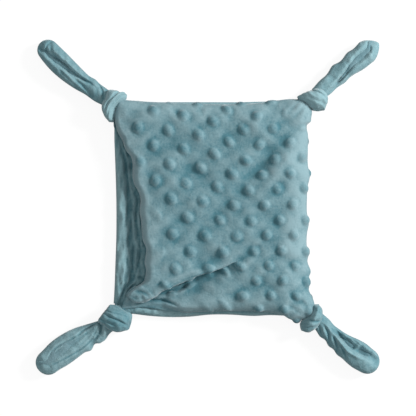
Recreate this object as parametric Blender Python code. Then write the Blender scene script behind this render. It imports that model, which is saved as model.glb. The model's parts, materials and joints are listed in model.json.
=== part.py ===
"""Comfort blanket lovey: two layers of plush, drawn in between four knotted corners.

The front is dimple-dot plush and the back is smooth plush, which rolls out past the
front along the left side. A light wadding pad lies between them. Each corner gathers
into a neck, is tied in a knot and ends in a tail of two layers. The knots bend up and
down at their necks, and the tails swing sideways where they leave their knots.

Lengths are in metres, +Z is up, and the blanket lies flat with its front showing.
"""

from dataclasses import dataclass
from math import cos, pi, radians, sin, sqrt, tau

import bmesh
import bpy
from mathutils import Vector
from mathutils.geometry import delaunay_2d_cdt

MM = 0.001

# Body between the knots, seen from above
BODY_WIDTH = 175.5 * MM
BODY_LENGTH = 193.5 * MM
DRAW_IN = 2.5 * MM
DRAW_IN_SHARES = {"left": 0.4, "right": 0.8, "top": 1.2, "bottom": 0.5}
SIDE_STEPS = 8
MEETING_ROUNDS = 6
CROWN_HEIGHT = 24 * MM
SIDE_ROUNDING = 28 * MM
LEFT_ROUNDING = 15 * MM
CORNER_ROUNDING = 30 * MM

# Cloth, seam and wadding
FRONT_CLOTH = 3 * MM
BACK_CLOTH = 2.5 * MM
SEAT_GAP = 0.3 * MM
SEAM_HEIGHT = 7.5 * MM
SEAM_BAND = 2.4 * MM
THREAD_RADIUS = 0.5 * MM
THREAD_SIDES = 6
WADDING_MARGIN = 13 * MM
WADDING_GRID = 20 * MM
CURL_WIDTH_SHARE = 0.7
EDGE_CURL = 10 * MM
EDGE_CURL_LOOP_SHARES = (0.3, 1)
RIM_LOOP_SHARES = (0.11, 0.36, 0.8)
STEEP_RADIUS = 8 * MM
STEEP_DIRECTIONS = 8

# Left band, where the back rolls out past the front, and the thin strips of back elsewhere.
# Each pair is a place along the side and the width there, as shares.
BAND_WIDTH = 26 * MM
BAND_SHARES = (
    (0, 0), (0.04, 0.4), (0.066, 0.68), (0.1, 1), (0.132, 1.16), (0.193, 1.09), (0.309, 0.99),
    (0.392, 0.92), (0.471, 1.02), (0.587, 1.09), (0.657, 0.92), (0.703, 0.885), (0.773, 0.57),
    (0.83, 0.25), (0.912, 0.05), (1, 0),
)
ROLL_HEIGHT = 12 * MM
TROUGH_HEIGHT = 4.6 * MM
GATHER_HEIGHT = 1.4 * MM
LEAST_ROLLED_BAND = 7 * MM
# Across the band: its place, the share of the roll's rise, and the share of a gather's height
BAND_PROFILE_SHARES = (
    (0.06, 0.62, 0), (0.16, 0.95, 0), (0.26, 1, 0), (0.36, 0.72, 0), (0.45, 0, 0),
    (0.57, 0, 1), (0.67, 0, -0.4), (0.78, 0, 0.9), (0.89, 0, 0),
)
STRIP_WIDTH = 4 * MM
BOTTOM_STRIP_SHARES = ((0, 0), (0.12, 0.9), (0.3, 1), (0.5, 0.85), (0.7, 1), (0.88, 0.8), (1, 0))
TOP_STRIP_SHARES = ((0, 0), (0.35, 0.1), (0.5, 0.45), (0.65, 0.5), (0.76, 0.2), (1, 0))

# Pleat that runs in from the bottom left knot, and the soft valley from the top right one
PLEAT_DEPTH = 7.5 * MM
PLEAT_STEP = 2.6 * MM
PLEAT_FADE = 22 * MM
PLEAT_POINTS = 9
PLEAT_ROW_SHARES = (0, 1, 3.6, 7)
PLEAT_ROOM_SHARE = 1.5
PLEAT_SHARES = (
    (0.111, 0.063), (0.224, 0.109), (0.326, 0.188), (0.44, 0.23), (0.553, 0.253), (0.645, 0.276),
)
VALLEY_DEPTH = 3 * MM
VALLEY_WIDTH = 10 * MM
VALLEY_SHARES = ((0.877, 0.819), (0.635, 0.573))

# Raised dots of the front cloth, in staggered rows that lean down towards the middle
DOT_DIAMETER = 9 * MM
DOT_HEIGHT = 2.6 * MM
DOT_SHOULDER_SHARES = (0.6, 0.76)
DOT_SIDES = 6
DOT_ROOM_SHARE = 0.6
DOT_STEP = 26 * MM
DOT_ROW_GAP = 14 * MM
DOT_PHASE_SHARES = (-0.25, 0.11)
DOT_EDGE_MARGIN = 1.6 * MM
ROW_LEAN = 10.8 * MM
ROW_LEAN_SPAN_SHARES = (0.116, 0.645)

# Knots
KNOT_WIDTH = 29 * MM
KNOT_HEIGHT = 24.6 * MM
KNOT_LENGTH = 19 * MM
KNOT_SEGMENTS = 20
KNOT_SLANT = 2 * MM
FLAT_DEPTH = 0.5 * MM
# Along the knot: the place, the radius, and how much the wraps slant there
KNOT_PROFILE_SHARES = (
    (0, 0.74, 0), (0.07, 0.86, 0.3), (0.18, 0.96, 1), (0.3, 0.93, 1), (0.37, 0.86, 1),
    (0.45, 0.96, 1), (0.57, 1, 1), (0.66, 0.93, 1), (0.72, 0.87, 1), (0.82, 0.93, 1),
    (0.93, 0.84, 0.3), (1, 0.7, 0),
)

# Necks, whose front is round about the hinge axis, so that the knot's flat face rolls on it
NECK_RADIUS = 4.5 * MM
NECK_DEPTH = 3 * MM
NECK_SPREAD = 25 * MM
NECK_ARC_STEPS = 6
NECK_GATHER_SHARES = (0.55, 0.84, 1, 0.9, 1, 0.9, 1, 0.84, 0.55)

# Tails, with the root ball on the vertical hinge axis
TAIL_LENGTH = 66 * MM
TAIL_WIDTH = 20.5 * MM
TAIL_HEIGHT = 16.6 * MM
TAIL_BOW = 3.2 * MM
TAIL_ROOT_RADIUS = 6.4 * MM
TAIL_ROOT_HEIGHT = 10 * MM
TAIL_ROOT_SHARES = (-0.98, -0.86, -0.55, 0)
TAIL_TIP_TURN_SHARES = (0, 0.35, 0.62, 0.82, 0.95)
TAIL_TIP_HEIGHT_SHARE = 0.35
TAIL_OUTER_ANGLES = (160, 184, 208, 232, 256, 284, 308, 332, 356, 380)
CHANNEL_LIP_SHARE = 0.36
CHANNEL_FLOOR_SHARE = 0.25
CHANNEL_DEPTH_SHARE = 0.95
FOLD_GAP = 0.4 * MM
FOLD_SEGMENTS = 8
FOLD_TOP_SHARE = 0.82


@dataclass(frozen=True)
class Corner:
    """One knotted corner: its side of the body, its directions and its shares of the sizes."""

    name: str
    side_x: int
    side_y: int
    knot_out_shares: tuple
    knot_angle: float
    knot_length_share: float
    tail_angle: float
    tail_length_share: float
    tail_bow_share: float
    tip_share: float
    tail_station_shares: tuple

    @property
    def axis(self):
        return Vector((cos(radians(self.knot_angle)), sin(radians(self.knot_angle)), 0))

    @property
    def knot_length(self):
        return KNOT_LENGTH * self.knot_length_share

    @property
    def knot_centre(self):
        out_x, out_y = (share * KNOT_WIDTH for share in self.knot_out_shares)
        height = KNOT_HEIGHT / 2 - FLAT_DEPTH
        return Vector(
            (self.side_x * (BODY_WIDTH / 2 + out_x), self.side_y * (BODY_LENGTH / 2 + out_y), height)
        )

    @property
    def neck_pivot(self):
        return self.knot_centre - self.axis * (self.knot_length / 2 + SEAT_GAP + NECK_RADIUS)

    @property
    def cut_point(self):
        """A point of the line, square to the knot's axis, where the two layers end."""
        return self.neck_pivot - self.axis * (NECK_DEPTH + SEAT_GAP)

    @property
    def tail_pivot(self):
        reach = self.knot_length / 2 + SEAT_GAP + TAIL_ROOT_RADIUS
        pivot = self.knot_centre + self.axis * reach
        pivot.z = TAIL_ROOT_HEIGHT
        return pivot


# A tail's stations: the place along it, the half-width, the half-height, and the channel's depth
CORNERS = (
    Corner(
        "top_left", -1, 1, (0.04, -0.133), 140, 0.95, 138.1, 1.074, 1, 0.86,
        (
            (0.15, 0.72, 0.85, 0.2), (0.3, 0.85, 0.95, 0.8), (0.5, 0.98, 1, 1),
            (0.68, 1.02, 1, 1), (0.8, 0.98, 0.98, 0.9),
        ),
    ),
    Corner(
        "top_right", 1, 1, (0.147, 0.009), 50, 1, 39.6, 0.949, 0.25, 0.9,
        (
            (0.12, 0.74, 0.85, 0.1), (0.25, 0.86, 0.9, 0.7), (0.36, 0.8, 0.92, 0.9),
            (0.5, 0.88, 1, 1), (0.65, 0.92, 1, 1), (0.79, 1.02, 1, 0.9),
        ),
    ),
    Corner(
        "bottom_left", -1, -1, (-0.084, 0.009), 217, 1.26, 214.4, 1.02, 0.3, 1,
        (
            (0.15, 0.9, 0.85, 0.3), (0.3, 1.12, 0.95, 0.8), (0.5, 1.25, 1, 1),
            (0.66, 1.24, 1, 1), (0.78, 1.13, 0.97, 0.9),
        ),
    ),
    Corner(
        "bottom_right", 1, -1, (0.053, 0.022), -36, 0.79, -37.3, 0.94, -0.75, 0.92,
        (
            (0.15, 0.82, 0.9, 0.2), (0.3, 0.86, 0.95, 0.7), (0.45, 0.92, 1, 0.9),
            (0.6, 1, 1, 1), (0.77, 1.06, 1, 0.9),
        ),
    ),
)

FRONT_RIM_LOW = SEAM_HEIGHT + THREAD_RADIUS + SEAT_GAP
FRONT_RIM_HIGH = FRONT_RIM_LOW + FRONT_CLOTH
BACK_RIM_HIGH = SEAM_HEIGHT - THREAD_RADIUS - SEAT_GAP
BACK_RIM_LOW = BACK_RIM_HIGH - BACK_CLOTH
WADDING_LOW = BACK_CLOTH + SEAT_GAP
CURL_WIDTH = WADDING_MARGIN * CURL_WIDTH_SHARE
CDT_EPSILON = THREAD_RADIUS * MM

DEEP_TEAL = (0.10, 0.245, 0.285, 1)
SMOOTH_TEAL = (0.13, 0.285, 0.325, 1)
INNER_TEAL = (0.075, 0.19, 0.225, 1)
THREAD_TEAL = (0.055, 0.14, 0.165, 1)
WADDING_WHITE = (0.83, 0.83, 0.8, 1)


def table_value(table, place):
    """The value of a table of (place, value) pairs at one place, straight between its rows."""
    if place <= table[0][0]:
        return table[0][1]
    for (start, low), (end, high) in zip(table, table[1:]):
        if place <= end:
            return low + (high - low) * (place - start) / (end - start)
    return table[-1][1]


def rounding(share):
    """A quarter circle: 0 at 0, 1 at 1 and beyond."""
    share = min(max(share, 0), 1)
    return sqrt(1 - (1 - share) ** 2)


def smooth(share):
    share = min(max(share, 0), 1)
    return share * share * (3 - 2 * share)


def body_place(share_x, share_y):
    return Vector(((share_x - 0.5) * BODY_WIDTH, (share_y - 0.5) * BODY_LENGTH))


def along_width(x):
    return x / BODY_WIDTH + 0.5


def along_length(y):
    return y / BODY_LENGTH + 0.5


def drawn_in(side, place):
    return DRAW_IN * DRAW_IN_SHARES[side] * 4 * max(place * (1 - place), 0)


class Borders:
    """The four sides of one layer, as distances from the body's middle lines."""

    def __init__(self, band, bottom_strip, top_strip):
        self.band = band
        self.bottom_strip = bottom_strip
        self.top_strip = top_strip

    def left(self, y):
        place = along_length(y)
        return -BODY_WIDTH / 2 + drawn_in("left", place) + self.band * table_value(BAND_SHARES, place)

    def right(self, y):
        return BODY_WIDTH / 2 - drawn_in("right", along_length(y))

    def bottom(self, x):
        place = along_width(x)
        strip = self.bottom_strip * table_value(BOTTOM_STRIP_SHARES, place)
        return -BODY_LENGTH / 2 + drawn_in("bottom", place) + strip

    def top(self, x):
        place = along_width(x)
        strip = self.top_strip * table_value(TOP_STRIP_SHARES, place)
        return BODY_LENGTH / 2 - drawn_in("top", place) - strip

    def side_distances(self, point):
        """How far the point lies inside the left, right, bottom and top sides."""
        return (
            point.x - self.left(point.y),
            self.right(point.y) - point.x,
            point.y - self.bottom(point.x),
            self.top(point.x) - point.y,
        )

    def distance(self, point):
        """How far the point lies inside the nearest side or corner cut."""
        return min(*self.side_distances(point), *(corner_distance(corner, point) for corner in CORNERS))

    def side_x(self, side, y, inset):
        return self.left(y) + inset if side < 0 else self.right(y) - inset

    def side_y(self, side, x, inset):
        return self.bottom(x) + inset if side < 0 else self.top(x) - inset

    def meeting(self, side_x, side_y, inset):
        """Where two sides meet, both moved in by the inset."""
        y = side_y * (BODY_LENGTH / 2 - inset)
        for _ in range(MEETING_ROUNDS):
            x = self.side_x(side_x, y, inset)
            y = self.side_y(side_y, x, inset)
        return Vector((x, y))

    def outline(self, inset):
        """The sides, moved in by the inset and cut square to each knot, anticlockwise."""
        first, second = self.meeting(-1, -1, inset), self.meeting(1, -1, inset)
        third, fourth = self.meeting(1, 1, inset), self.meeting(-1, 1, inset)
        shares = [i / SIDE_STEPS for i in range(1, SIDE_STEPS)]
        rows = [body_place(0, place).y for place, _ in reversed(BAND_SHARES)]
        rows = [y for y in rows if first.y < y < fourth.y]
        if not self.band:
            rows = [fourth.lerp(first, share).y for share in shares]
        loop = [first]
        loop += [Vector((x, self.side_y(-1, x, inset))) for x in (first.lerp(second, s).x for s in shares)]
        loop += [second]
        loop += [Vector((self.side_x(1, y, inset), y)) for y in (second.lerp(third, s).y for s in shares)]
        loop += [third]
        loop += [Vector((x, self.side_y(1, x, inset))) for x in (third.lerp(fourth, s).x for s in shares)]
        loop += [fourth]
        loop += [Vector((self.side_x(-1, y, inset), y)) for y in rows]
        for corner in CORNERS:
            loop = cut_corner(loop, corner, inset)
        return without_short_edges(loop)


def corner_distance(corner, point):
    """How far the point lies inside the line where the layers end at this corner."""
    return (corner.cut_point.xy - point).dot(corner.axis.xy)


def cut_corner(loop, corner, inset):
    """The loop without what lies nearer to the knot than the inset allows."""
    kept = []
    for start, end in zip(loop, loop[1:] + loop[:1]):
        start_in = corner_distance(corner, start) - inset
        end_in = corner_distance(corner, end) - inset
        if start_in >= 0:
            kept.append(start)
        if (start_in >= 0) != (end_in >= 0):
            kept.append(start.lerp(end, start_in / (start_in - end_in)))
    return kept


def without_short_edges(loop):
    kept = [loop[0]]
    for point in loop[1:]:
        if (point - kept[-1]).length > SEAM_BAND / 2:
            kept.append(point)
    if (kept[-1] - kept[0]).length < SEAM_BAND / 2:
        kept.pop()
    return kept


FRONT_BORDERS = Borders(BAND_WIDTH, STRIP_WIDTH, STRIP_WIDTH)
BACK_BORDERS = Borders(0, 0, 0)


def nearest_on_path(path, point):
    """(place along the path from 0 to 1, distance to the left of it, or below 0 to the right)."""
    lengths = [(end - start).length for start, end in zip(path, path[1:])]
    best = None
    done = 0
    for start, end, length in zip(path, path[1:], lengths):
        direction = (end - start) / length
        place = min(max((point - start).dot(direction), 0), length)
        away = point - start - direction * place
        side = -1 if direction.cross(away) < 0 else 1
        if best is None or away.length < abs(best[1]):
            best = ((done + place) / sum(lengths), side * away.length)
        done += length
    return best


PLEAT_PATH = [body_place(*shares) for shares in PLEAT_SHARES]
VALLEY_PATH = [body_place(*shares) for shares in VALLEY_SHARES]


def pleat_drop(point):
    """How far the cloth drops beside the pleat's ridge, on the side towards the bottom."""
    place, offset = nearest_on_path(PLEAT_PATH, point)
    if offset >= 0:
        return 0
    rise = min(-offset / PLEAT_STEP, 1)
    fade = 1 - smooth((-offset - PLEAT_STEP) / PLEAT_FADE)
    return PLEAT_DEPTH * (1 - smooth(place)) * rise * fade


def valley_drop(point):
    place, offset = nearest_on_path(VALLEY_PATH, point)
    return VALLEY_DEPTH * (1 - place / 2) * (1 - smooth(abs(offset) / VALLEY_WIDTH))


def crown(point):
    """The crown's share of its full height: 0 at the border, 1 in the middle."""
    left, right, bottom, top = FRONT_BORDERS.side_distances(point)
    share = rounding(left / LEFT_ROUNDING)
    for distance in (right, bottom, top):
        share *= rounding(distance / SIDE_ROUNDING)
    for corner in CORNERS:
        share *= rounding(corner_distance(corner, point) / CORNER_ROUNDING)
    return share


def front_high(point):
    """The height of the front layer's upper side, without its dots."""
    share = crown(point)
    rise = (CROWN_HEIGHT - FRONT_RIM_HIGH) * share
    return FRONT_RIM_HIGH + rise - min((pleat_drop(point) + valley_drop(point)) * share, rise)


def front_low(point):
    """The underside of the front layer inside its seam, clear of every fold above."""
    turns = [tau * i / STEEP_DIRECTIONS for i in range(STEEP_DIRECTIONS)]
    around = [point + Vector((cos(turn), sin(turn))) * STEEP_RADIUS for turn in turns]
    return min(front_high(near) for near in [point, *around]) - FRONT_CLOTH


def back_high(point):
    """The upper side of the back layer: the seam's rim, the curl inside it, and the left band."""
    inside = FRONT_BORDERS.distance(point)
    if inside >= 0:
        curl = smooth((inside - SEAM_BAND) / (CURL_WIDTH - SEAM_BAND))
        return BACK_RIM_HIGH - (BACK_RIM_HIGH - BACK_CLOTH) * curl
    return BACK_RIM_HIGH


def back_low(point):
    """The underside of the back layer: flat on the ground, curling up to the rim."""
    return BACK_RIM_LOW * (1 - rounding(BACK_BORDERS.distance(point) / EDGE_CURL))


def band_points():
    """(point, height) of the left band's roll and trough, and the edges that run along it."""
    found = []
    edges = []
    above = {}
    for share, _ in BAND_SHARES[1:-1]:
        y = body_place(0, share).y
        start, end = BACK_BORDERS.left(y), FRONT_BORDERS.left(y)
        width = end - start
        cut = min(corner_distance(corner, Vector((end, y))) for corner in CORNERS)
        if width < LEAST_ROLLED_BAND or cut < SEAM_BAND:
            continue
        fullness = smooth(width / BAND_WIDTH)
        for place, roll, gather in BAND_PROFILE_SHARES:
            point = Vector((start + place * width, y))
            rolled = BACK_RIM_HIGH + (ROLL_HEIGHT - BACK_RIM_HIGH) * fullness * roll
            sunk = TROUGH_HEIGHT + GATHER_HEIGHT * gather
            height = rolled if roll else BACK_RIM_HIGH + (sunk - BACK_RIM_HIGH) * fullness
            if BACK_BORDERS.distance(point) > THREAD_RADIUS:
                if place in above:
                    edges.append((above[place], len(found)))
                above[place] = len(found)
                found.append((point, height))
    return found, edges


def row_lean(x):
    """How far a row of dots has come down at x, as the cloth leans towards the middle."""
    start, end = ROW_LEAN_SPAN_SHARES
    return ROW_LEAN * smooth((along_width(x) - start) / (end - start))


def dot_centres():
    """The staggered places of the raised dots that the front layer shows whole."""
    found = []
    rows = int(BODY_LENGTH / DOT_ROW_GAP)
    columns = int(BODY_WIDTH / DOT_STEP)
    phase_x, phase_y = DOT_PHASE_SHARES
    for row in range(-rows, rows + 1):
        for column in range(-columns, columns + 1):
            x = (column + phase_x + row % 2 / 2) * DOT_STEP
            centre = Vector((x, (row + phase_y) * DOT_ROW_GAP + ROW_LEAN - row_lean(x)))
            room = FRONT_BORDERS.distance(centre) - DOT_DIAMETER / 2
            offset = nearest_on_path(PLEAT_PATH, centre)[1]
            if room > DOT_EDGE_MARGIN and abs(offset) > DOT_DIAMETER / 2 + PLEAT_STEP:
                found.append(centre)
    return found


def ring(centre, radius, count):
    turns = [tau * i / count for i in range(count)]
    return [centre + Vector((cos(turn), sin(turn))) * radius for turn in turns]


def clear_of(points, centres, radius):
    return [p for p in points if all((p - centre).length > radius for centre in centres)]


def triangulate(outline, inner, crossing=()):
    """Triangles inside the outline, whose points come first. The crossing edges are kept."""
    points = [*outline, *inner]
    made = delaunay_2d_cdt(points, crossing, [list(range(len(outline)))], 1, CDT_EPSILON)
    faces, origins = made[2], made[3]
    return [[origins[i][0] for i in face] for face in faces]


def new_material(name, colour, roughness, sheen):
    material = bpy.data.materials.new(name)
    material.use_nodes = True
    shader = material.node_tree.nodes["Principled BSDF"]
    shader.inputs["Base Color"].default_value = colour
    shader.inputs["Roughness"].default_value = roughness
    shader.inputs["Metallic"].default_value = 0
    shader.inputs["Sheen Weight"].default_value = sheen
    material.diffuse_color = colour
    return material


def new_object(name, vertices, faces, material, parent):
    """An object under its parent, given world points and faces that point out."""
    origin = parent.matrix_world.translation
    mesh = bpy.data.meshes.new(name)
    mesh.from_pydata([Vector(point) - origin for point in vertices], [], faces)
    mesh.shade_smooth()
    mesh.set_sharp_from_angle(angle=radians(50))
    mesh.materials.append(material)
    made = bpy.data.objects.new(name, mesh)
    made.parent = parent
    bpy.context.scene.collection.objects.link(made)
    return made


def new_empty(name, place, parent=None):
    empty = bpy.data.objects.new(name, None)
    empty.location = place - (parent.matrix_world.translation if parent else Vector())
    empty.parent = parent
    bpy.context.scene.collection.objects.link(empty)
    bpy.context.view_layer.update()
    return empty


def cloth_solid(outline, rim_high, rim_low, upper, lower, upper_faces, lower_faces):
    """Vertices and faces of a layer whose two sides share only their outline.

    upper and lower hold (point, height) for the inner points of each side, and the faces
    count the outline's points first.
    """
    count = len(outline)
    vertices = [(p.x, p.y, rim_high) for p in outline] + [(p.x, p.y, z) for p, z in upper]
    shift = len(vertices)
    vertices += [(p.x, p.y, rim_low) for p in outline] + [(p.x, p.y, z) for p, z in lower]
    faces = [tuple(face) for face in upper_faces]
    faces += [tuple(shift + i for i in reversed(face)) for face in lower_faces]
    for i in range(count):
        after = (i + 1) % count
        faces.append((i, shift + i, shift + after, after))
    return vertices, faces


def lies_inside(loop, point):
    """Whether the point lies inside the loop, by the sides that a line to its right crosses."""
    inside = False
    for start, end in zip(loop, loop[1:] + loop[:1]):
        if (start.y > point.y) != (end.y > point.y):
            share = (point.y - start.y) / (end.y - start.y)
            inside ^= point.x < start.x + (end.x - start.x) * share
    return inside


def shifted(edges, count):
    return [(first + count, second + count) for first, second in edges]


def closed_edges(first, count):
    return [(first + i, first + (i + 1) % count) for i in range(count)]


def pleat_rows():
    """Rows of points along the pleat: on its ridge, at its foot, and down its fading side."""
    total = PLEAT_POINTS - 1
    ridge = [along_path(PLEAT_PATH, i / total) for i in range(PLEAT_POINTS)]
    rows = []
    for share in PLEAT_ROW_SHARES:
        row = [point + side * share * PLEAT_STEP for point, side in ridge]
        rows.append([p for p in row if FRONT_BORDERS.distance(p) > SEAM_BAND])
    return rows


def along_path(path, place):
    """The point at a place of the path, from 0 to 1, and the direction to its right there."""
    lengths = [(end - start).length for start, end in zip(path, path[1:])]
    left = place * sum(lengths)
    for start, end, length in zip(path, path[1:], lengths):
        if left <= length or end == path[-1]:
            direction = (end - start) / length
            return start + direction * left, Vector((direction.y, -direction.x))
        left -= length


def front_upper_points():
    """(point, height) of the front's upper side, and the edges that its pleat keeps."""
    dots = dot_centres()
    ridge, foot, *rest = pleat_rows()
    plain = [p for share in RIM_LOOP_SHARES for p in FRONT_BORDERS.outline(share * SIDE_ROUNDING)]
    plain += [p for row in rest for p in row]
    plain = clear_of(plain, ridge + foot, PLEAT_STEP * PLEAT_ROOM_SHARE)
    plain = clear_of(plain, dots, DOT_DIAMETER * DOT_ROOM_SHARE)
    points = [(p, front_high(p)) for p in ridge + foot + plain]
    edges = [(i, i + 1) for i in range(len(ridge) + len(foot) - 1) if i != len(ridge) - 1]
    for centre in dots:
        base = ring(centre, DOT_DIAMETER / 2, DOT_SIDES)
        points += [(p, front_high(p)) for p in base]
        wide, tall = DOT_SHOULDER_SHARES
        shoulder = ring(centre, DOT_DIAMETER / 2 * wide, DOT_SIDES)
        points += [(p, front_high(p) + DOT_HEIGHT * tall) for p in shoulder]
        points.append((centre, front_high(centre) + DOT_HEIGHT))
    return points, edges


def make_layers(blanket, materials):
    """The front layer, the wadding pad under it and the back layer."""
    outline = FRONT_BORDERS.outline(0)
    upper, kept = front_upper_points()
    upper_faces = triangulate(outline, [p for p, _ in upper], shifted(kept, len(outline)))

    seam = FRONT_BORDERS.outline(SEAM_BAND)
    pad = FRONT_BORDERS.outline(WADDING_MARGIN)
    columns = int(BODY_WIDTH / WADDING_GRID)
    rows = int(BODY_LENGTH / WADDING_GRID)
    grid = [
        body_place((i + 0.5) / columns, (j + 0.5) / rows) for i in range(columns) for j in range(rows)
    ]
    grid = [p for p in grid if FRONT_BORDERS.distance(p) > WADDING_MARGIN + WADDING_GRID / 4]
    inner = [*seam, *pad, *grid]
    lower = [(p, FRONT_RIM_LOW) for p in seam] + [(p, front_low(p)) for p in [*pad, *grid]]
    first_pad = len(outline) + len(seam)
    edges = closed_edges(len(outline), len(seam)) + closed_edges(first_pad, len(pad))
    lower_faces = triangulate(outline, inner, edges)
    vertices, faces = cloth_solid(
        outline, FRONT_RIM_HIGH, FRONT_RIM_LOW, upper, lower, upper_faces, lower_faces
    )
    new_object("front_panel", vertices, faces, materials["front"], blanket)

    plan = [*outline, *inner]
    pad_faces = [
        [i - first_pad for i in face]
        for face in lower_faces
        if min(face) >= first_pad and lies_inside(pad, sum((plan[i] for i in face), Vector((0, 0))) / 3)
    ]
    points = [(p, z - SEAT_GAP) for p, z in lower[len(seam):]]
    new_pad(points, len(pad), pad_faces, blanket, materials["wadding"])

    rim = BACK_BORDERS.outline(0)
    band, kept = band_points()
    seams = [p for p in outline if BACK_BORDERS.distance(p) > SEAM_BAND / 2]
    rest = [*seams, *seam, *FRONT_BORDERS.outline(CURL_WIDTH)]
    upper = band + [(p, back_high(p)) for p in rest]
    under = [p for share in EDGE_CURL_LOOP_SHARES for p in BACK_BORDERS.outline(share * EDGE_CURL)]
    lower = [(p, back_low(p)) for p in under]
    vertices, faces = cloth_solid(
        rim, BACK_RIM_HIGH, BACK_RIM_LOW, upper, lower,
        triangulate(rim, [p for p, _ in upper], shifted(kept, len(rim))), triangulate(rim, under),
    )
    new_object("back_panel", vertices, faces, materials["back"], blanket)


def new_pad(points, rim_count, faces, blanket, material):
    """The wadding pad: its upper side lies under the front layer, and its underside is flat."""
    shift = len(points)
    vertices = [(p.x, p.y, z) for p, z in points] + [(p.x, p.y, WADDING_LOW) for p, _ in points]
    solid = [tuple(face) for face in faces]
    solid += [tuple(shift + i for i in reversed(face)) for face in faces]
    solid += [(i, shift + i, shift + j, j) for i, j in closed_edges(0, rim_count)]
    new_object("wadding_pad", vertices, solid, material, blanket)


def make_thread(blanket, material):
    """The seam's thread, which runs round the front layer between the two rims."""
    route = FRONT_BORDERS.outline(SEAM_BAND / 2)
    curve = bpy.data.curves.new("seam_thread", "CURVE")
    curve.dimensions = "3D"
    curve.bevel_depth = THREAD_RADIUS
    curve.bevel_resolution = THREAD_SIDES // 2 - 2
    spline = curve.splines.new("POLY")
    spline.points.add(len(route) - 1)
    for point, place in zip(spline.points, route):
        point.co = (place.x, place.y, SEAM_HEIGHT, 1)
    spline.use_cyclic_u = True
    curve.materials.append(material)
    thread = bpy.data.objects.new("seam_thread", curve)
    thread.parent = blanket
    bpy.context.scene.collection.objects.link(thread)


def bridge(rings):
    """Faces between rings of equal count, with both ends closed by a fan round the first point."""
    count = len(rings[0])
    faces = []
    for level in range(len(rings) - 1):
        for i in range(count):
            after = (i + 1) % count
            first = level * count
            faces.append((first + i, first + after, first + count + after, first + count + i))
    last = (len(rings) - 1) * count
    faces.append(tuple(reversed(range(count))))
    faces.append(tuple(range(last, last + count)))
    return [point for loop in rings for point in loop], faces


def outward(vertices, faces):
    """The same solid with its faces triangulated and pointing out."""
    mesh = bmesh.new()
    corners = [mesh.verts.new(point) for point in vertices]
    for face in faces:
        mesh.faces.new([corners[i] for i in face])
    bmesh.ops.recalc_face_normals(mesh, faces=mesh.faces)
    bmesh.ops.triangulate(mesh, faces=mesh.faces)
    mesh.verts.index_update()
    found = [tuple(vertex.index for vertex in face.verts) for face in mesh.faces]
    mesh.free()
    return vertices, found


def make_neck(corner, blanket, material):
    """The gathered neck: flat against the layers, and round about the hinge towards the knot."""
    pivot, axis = corner.neck_pivot, corner.axis
    across = Vector((-axis.y, axis.x, 0))
    rings = []
    stations = len(NECK_GATHER_SHARES) - 1
    for i, share in enumerate(NECK_GATHER_SHARES):
        side = across * NECK_SPREAD * (i / stations - 0.5)
        radius = NECK_RADIUS * share
        turns = [pi * (j / NECK_ARC_STEPS - 0.5) for j in range(NECK_ARC_STEPS + 1)]
        profile = [(radius * cos(turn), radius * sin(turn)) for turn in turns]
        profile += [(-NECK_DEPTH, NECK_RADIUS * share / 3), (-NECK_DEPTH, -NECK_RADIUS * (1 + share) / 2)]
        rings.append([pivot + side + axis * x + Vector((0, 0, z)) for x, z in profile])
    vertices, faces = outward(*bridge(rings))
    new_object(f"{corner.name}_neck", vertices, faces, material, blanket)


def make_knot(corner, parent, material):
    """The wraps of the knot, with flat ends square to its axis and a flat underside."""
    centre, axis = corner.knot_centre, corner.axis
    across = Vector((-axis.y, axis.x, 0))
    rings = []
    for place, radius, slant in KNOT_PROFILE_SHARES:
        loop = []
        for i in range(KNOT_SEGMENTS):
            turn = tau * i / KNOT_SEGMENTS
            along = (place - 0.5) * corner.knot_length + KNOT_SLANT * slant * sin(turn) / 2
            side = KNOT_WIDTH / 2 * radius * cos(turn)
            rise = KNOT_HEIGHT / 2 * radius * sin(turn)
            point = centre + axis * along + across * side
            point.z = max(point.z + rise, 0)
            loop.append(point)
        rings.append(loop)
    vertices, faces = outward(*bridge(rings))
    new_object(f"{corner.name}_knot", vertices, faces, material, parent)


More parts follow.
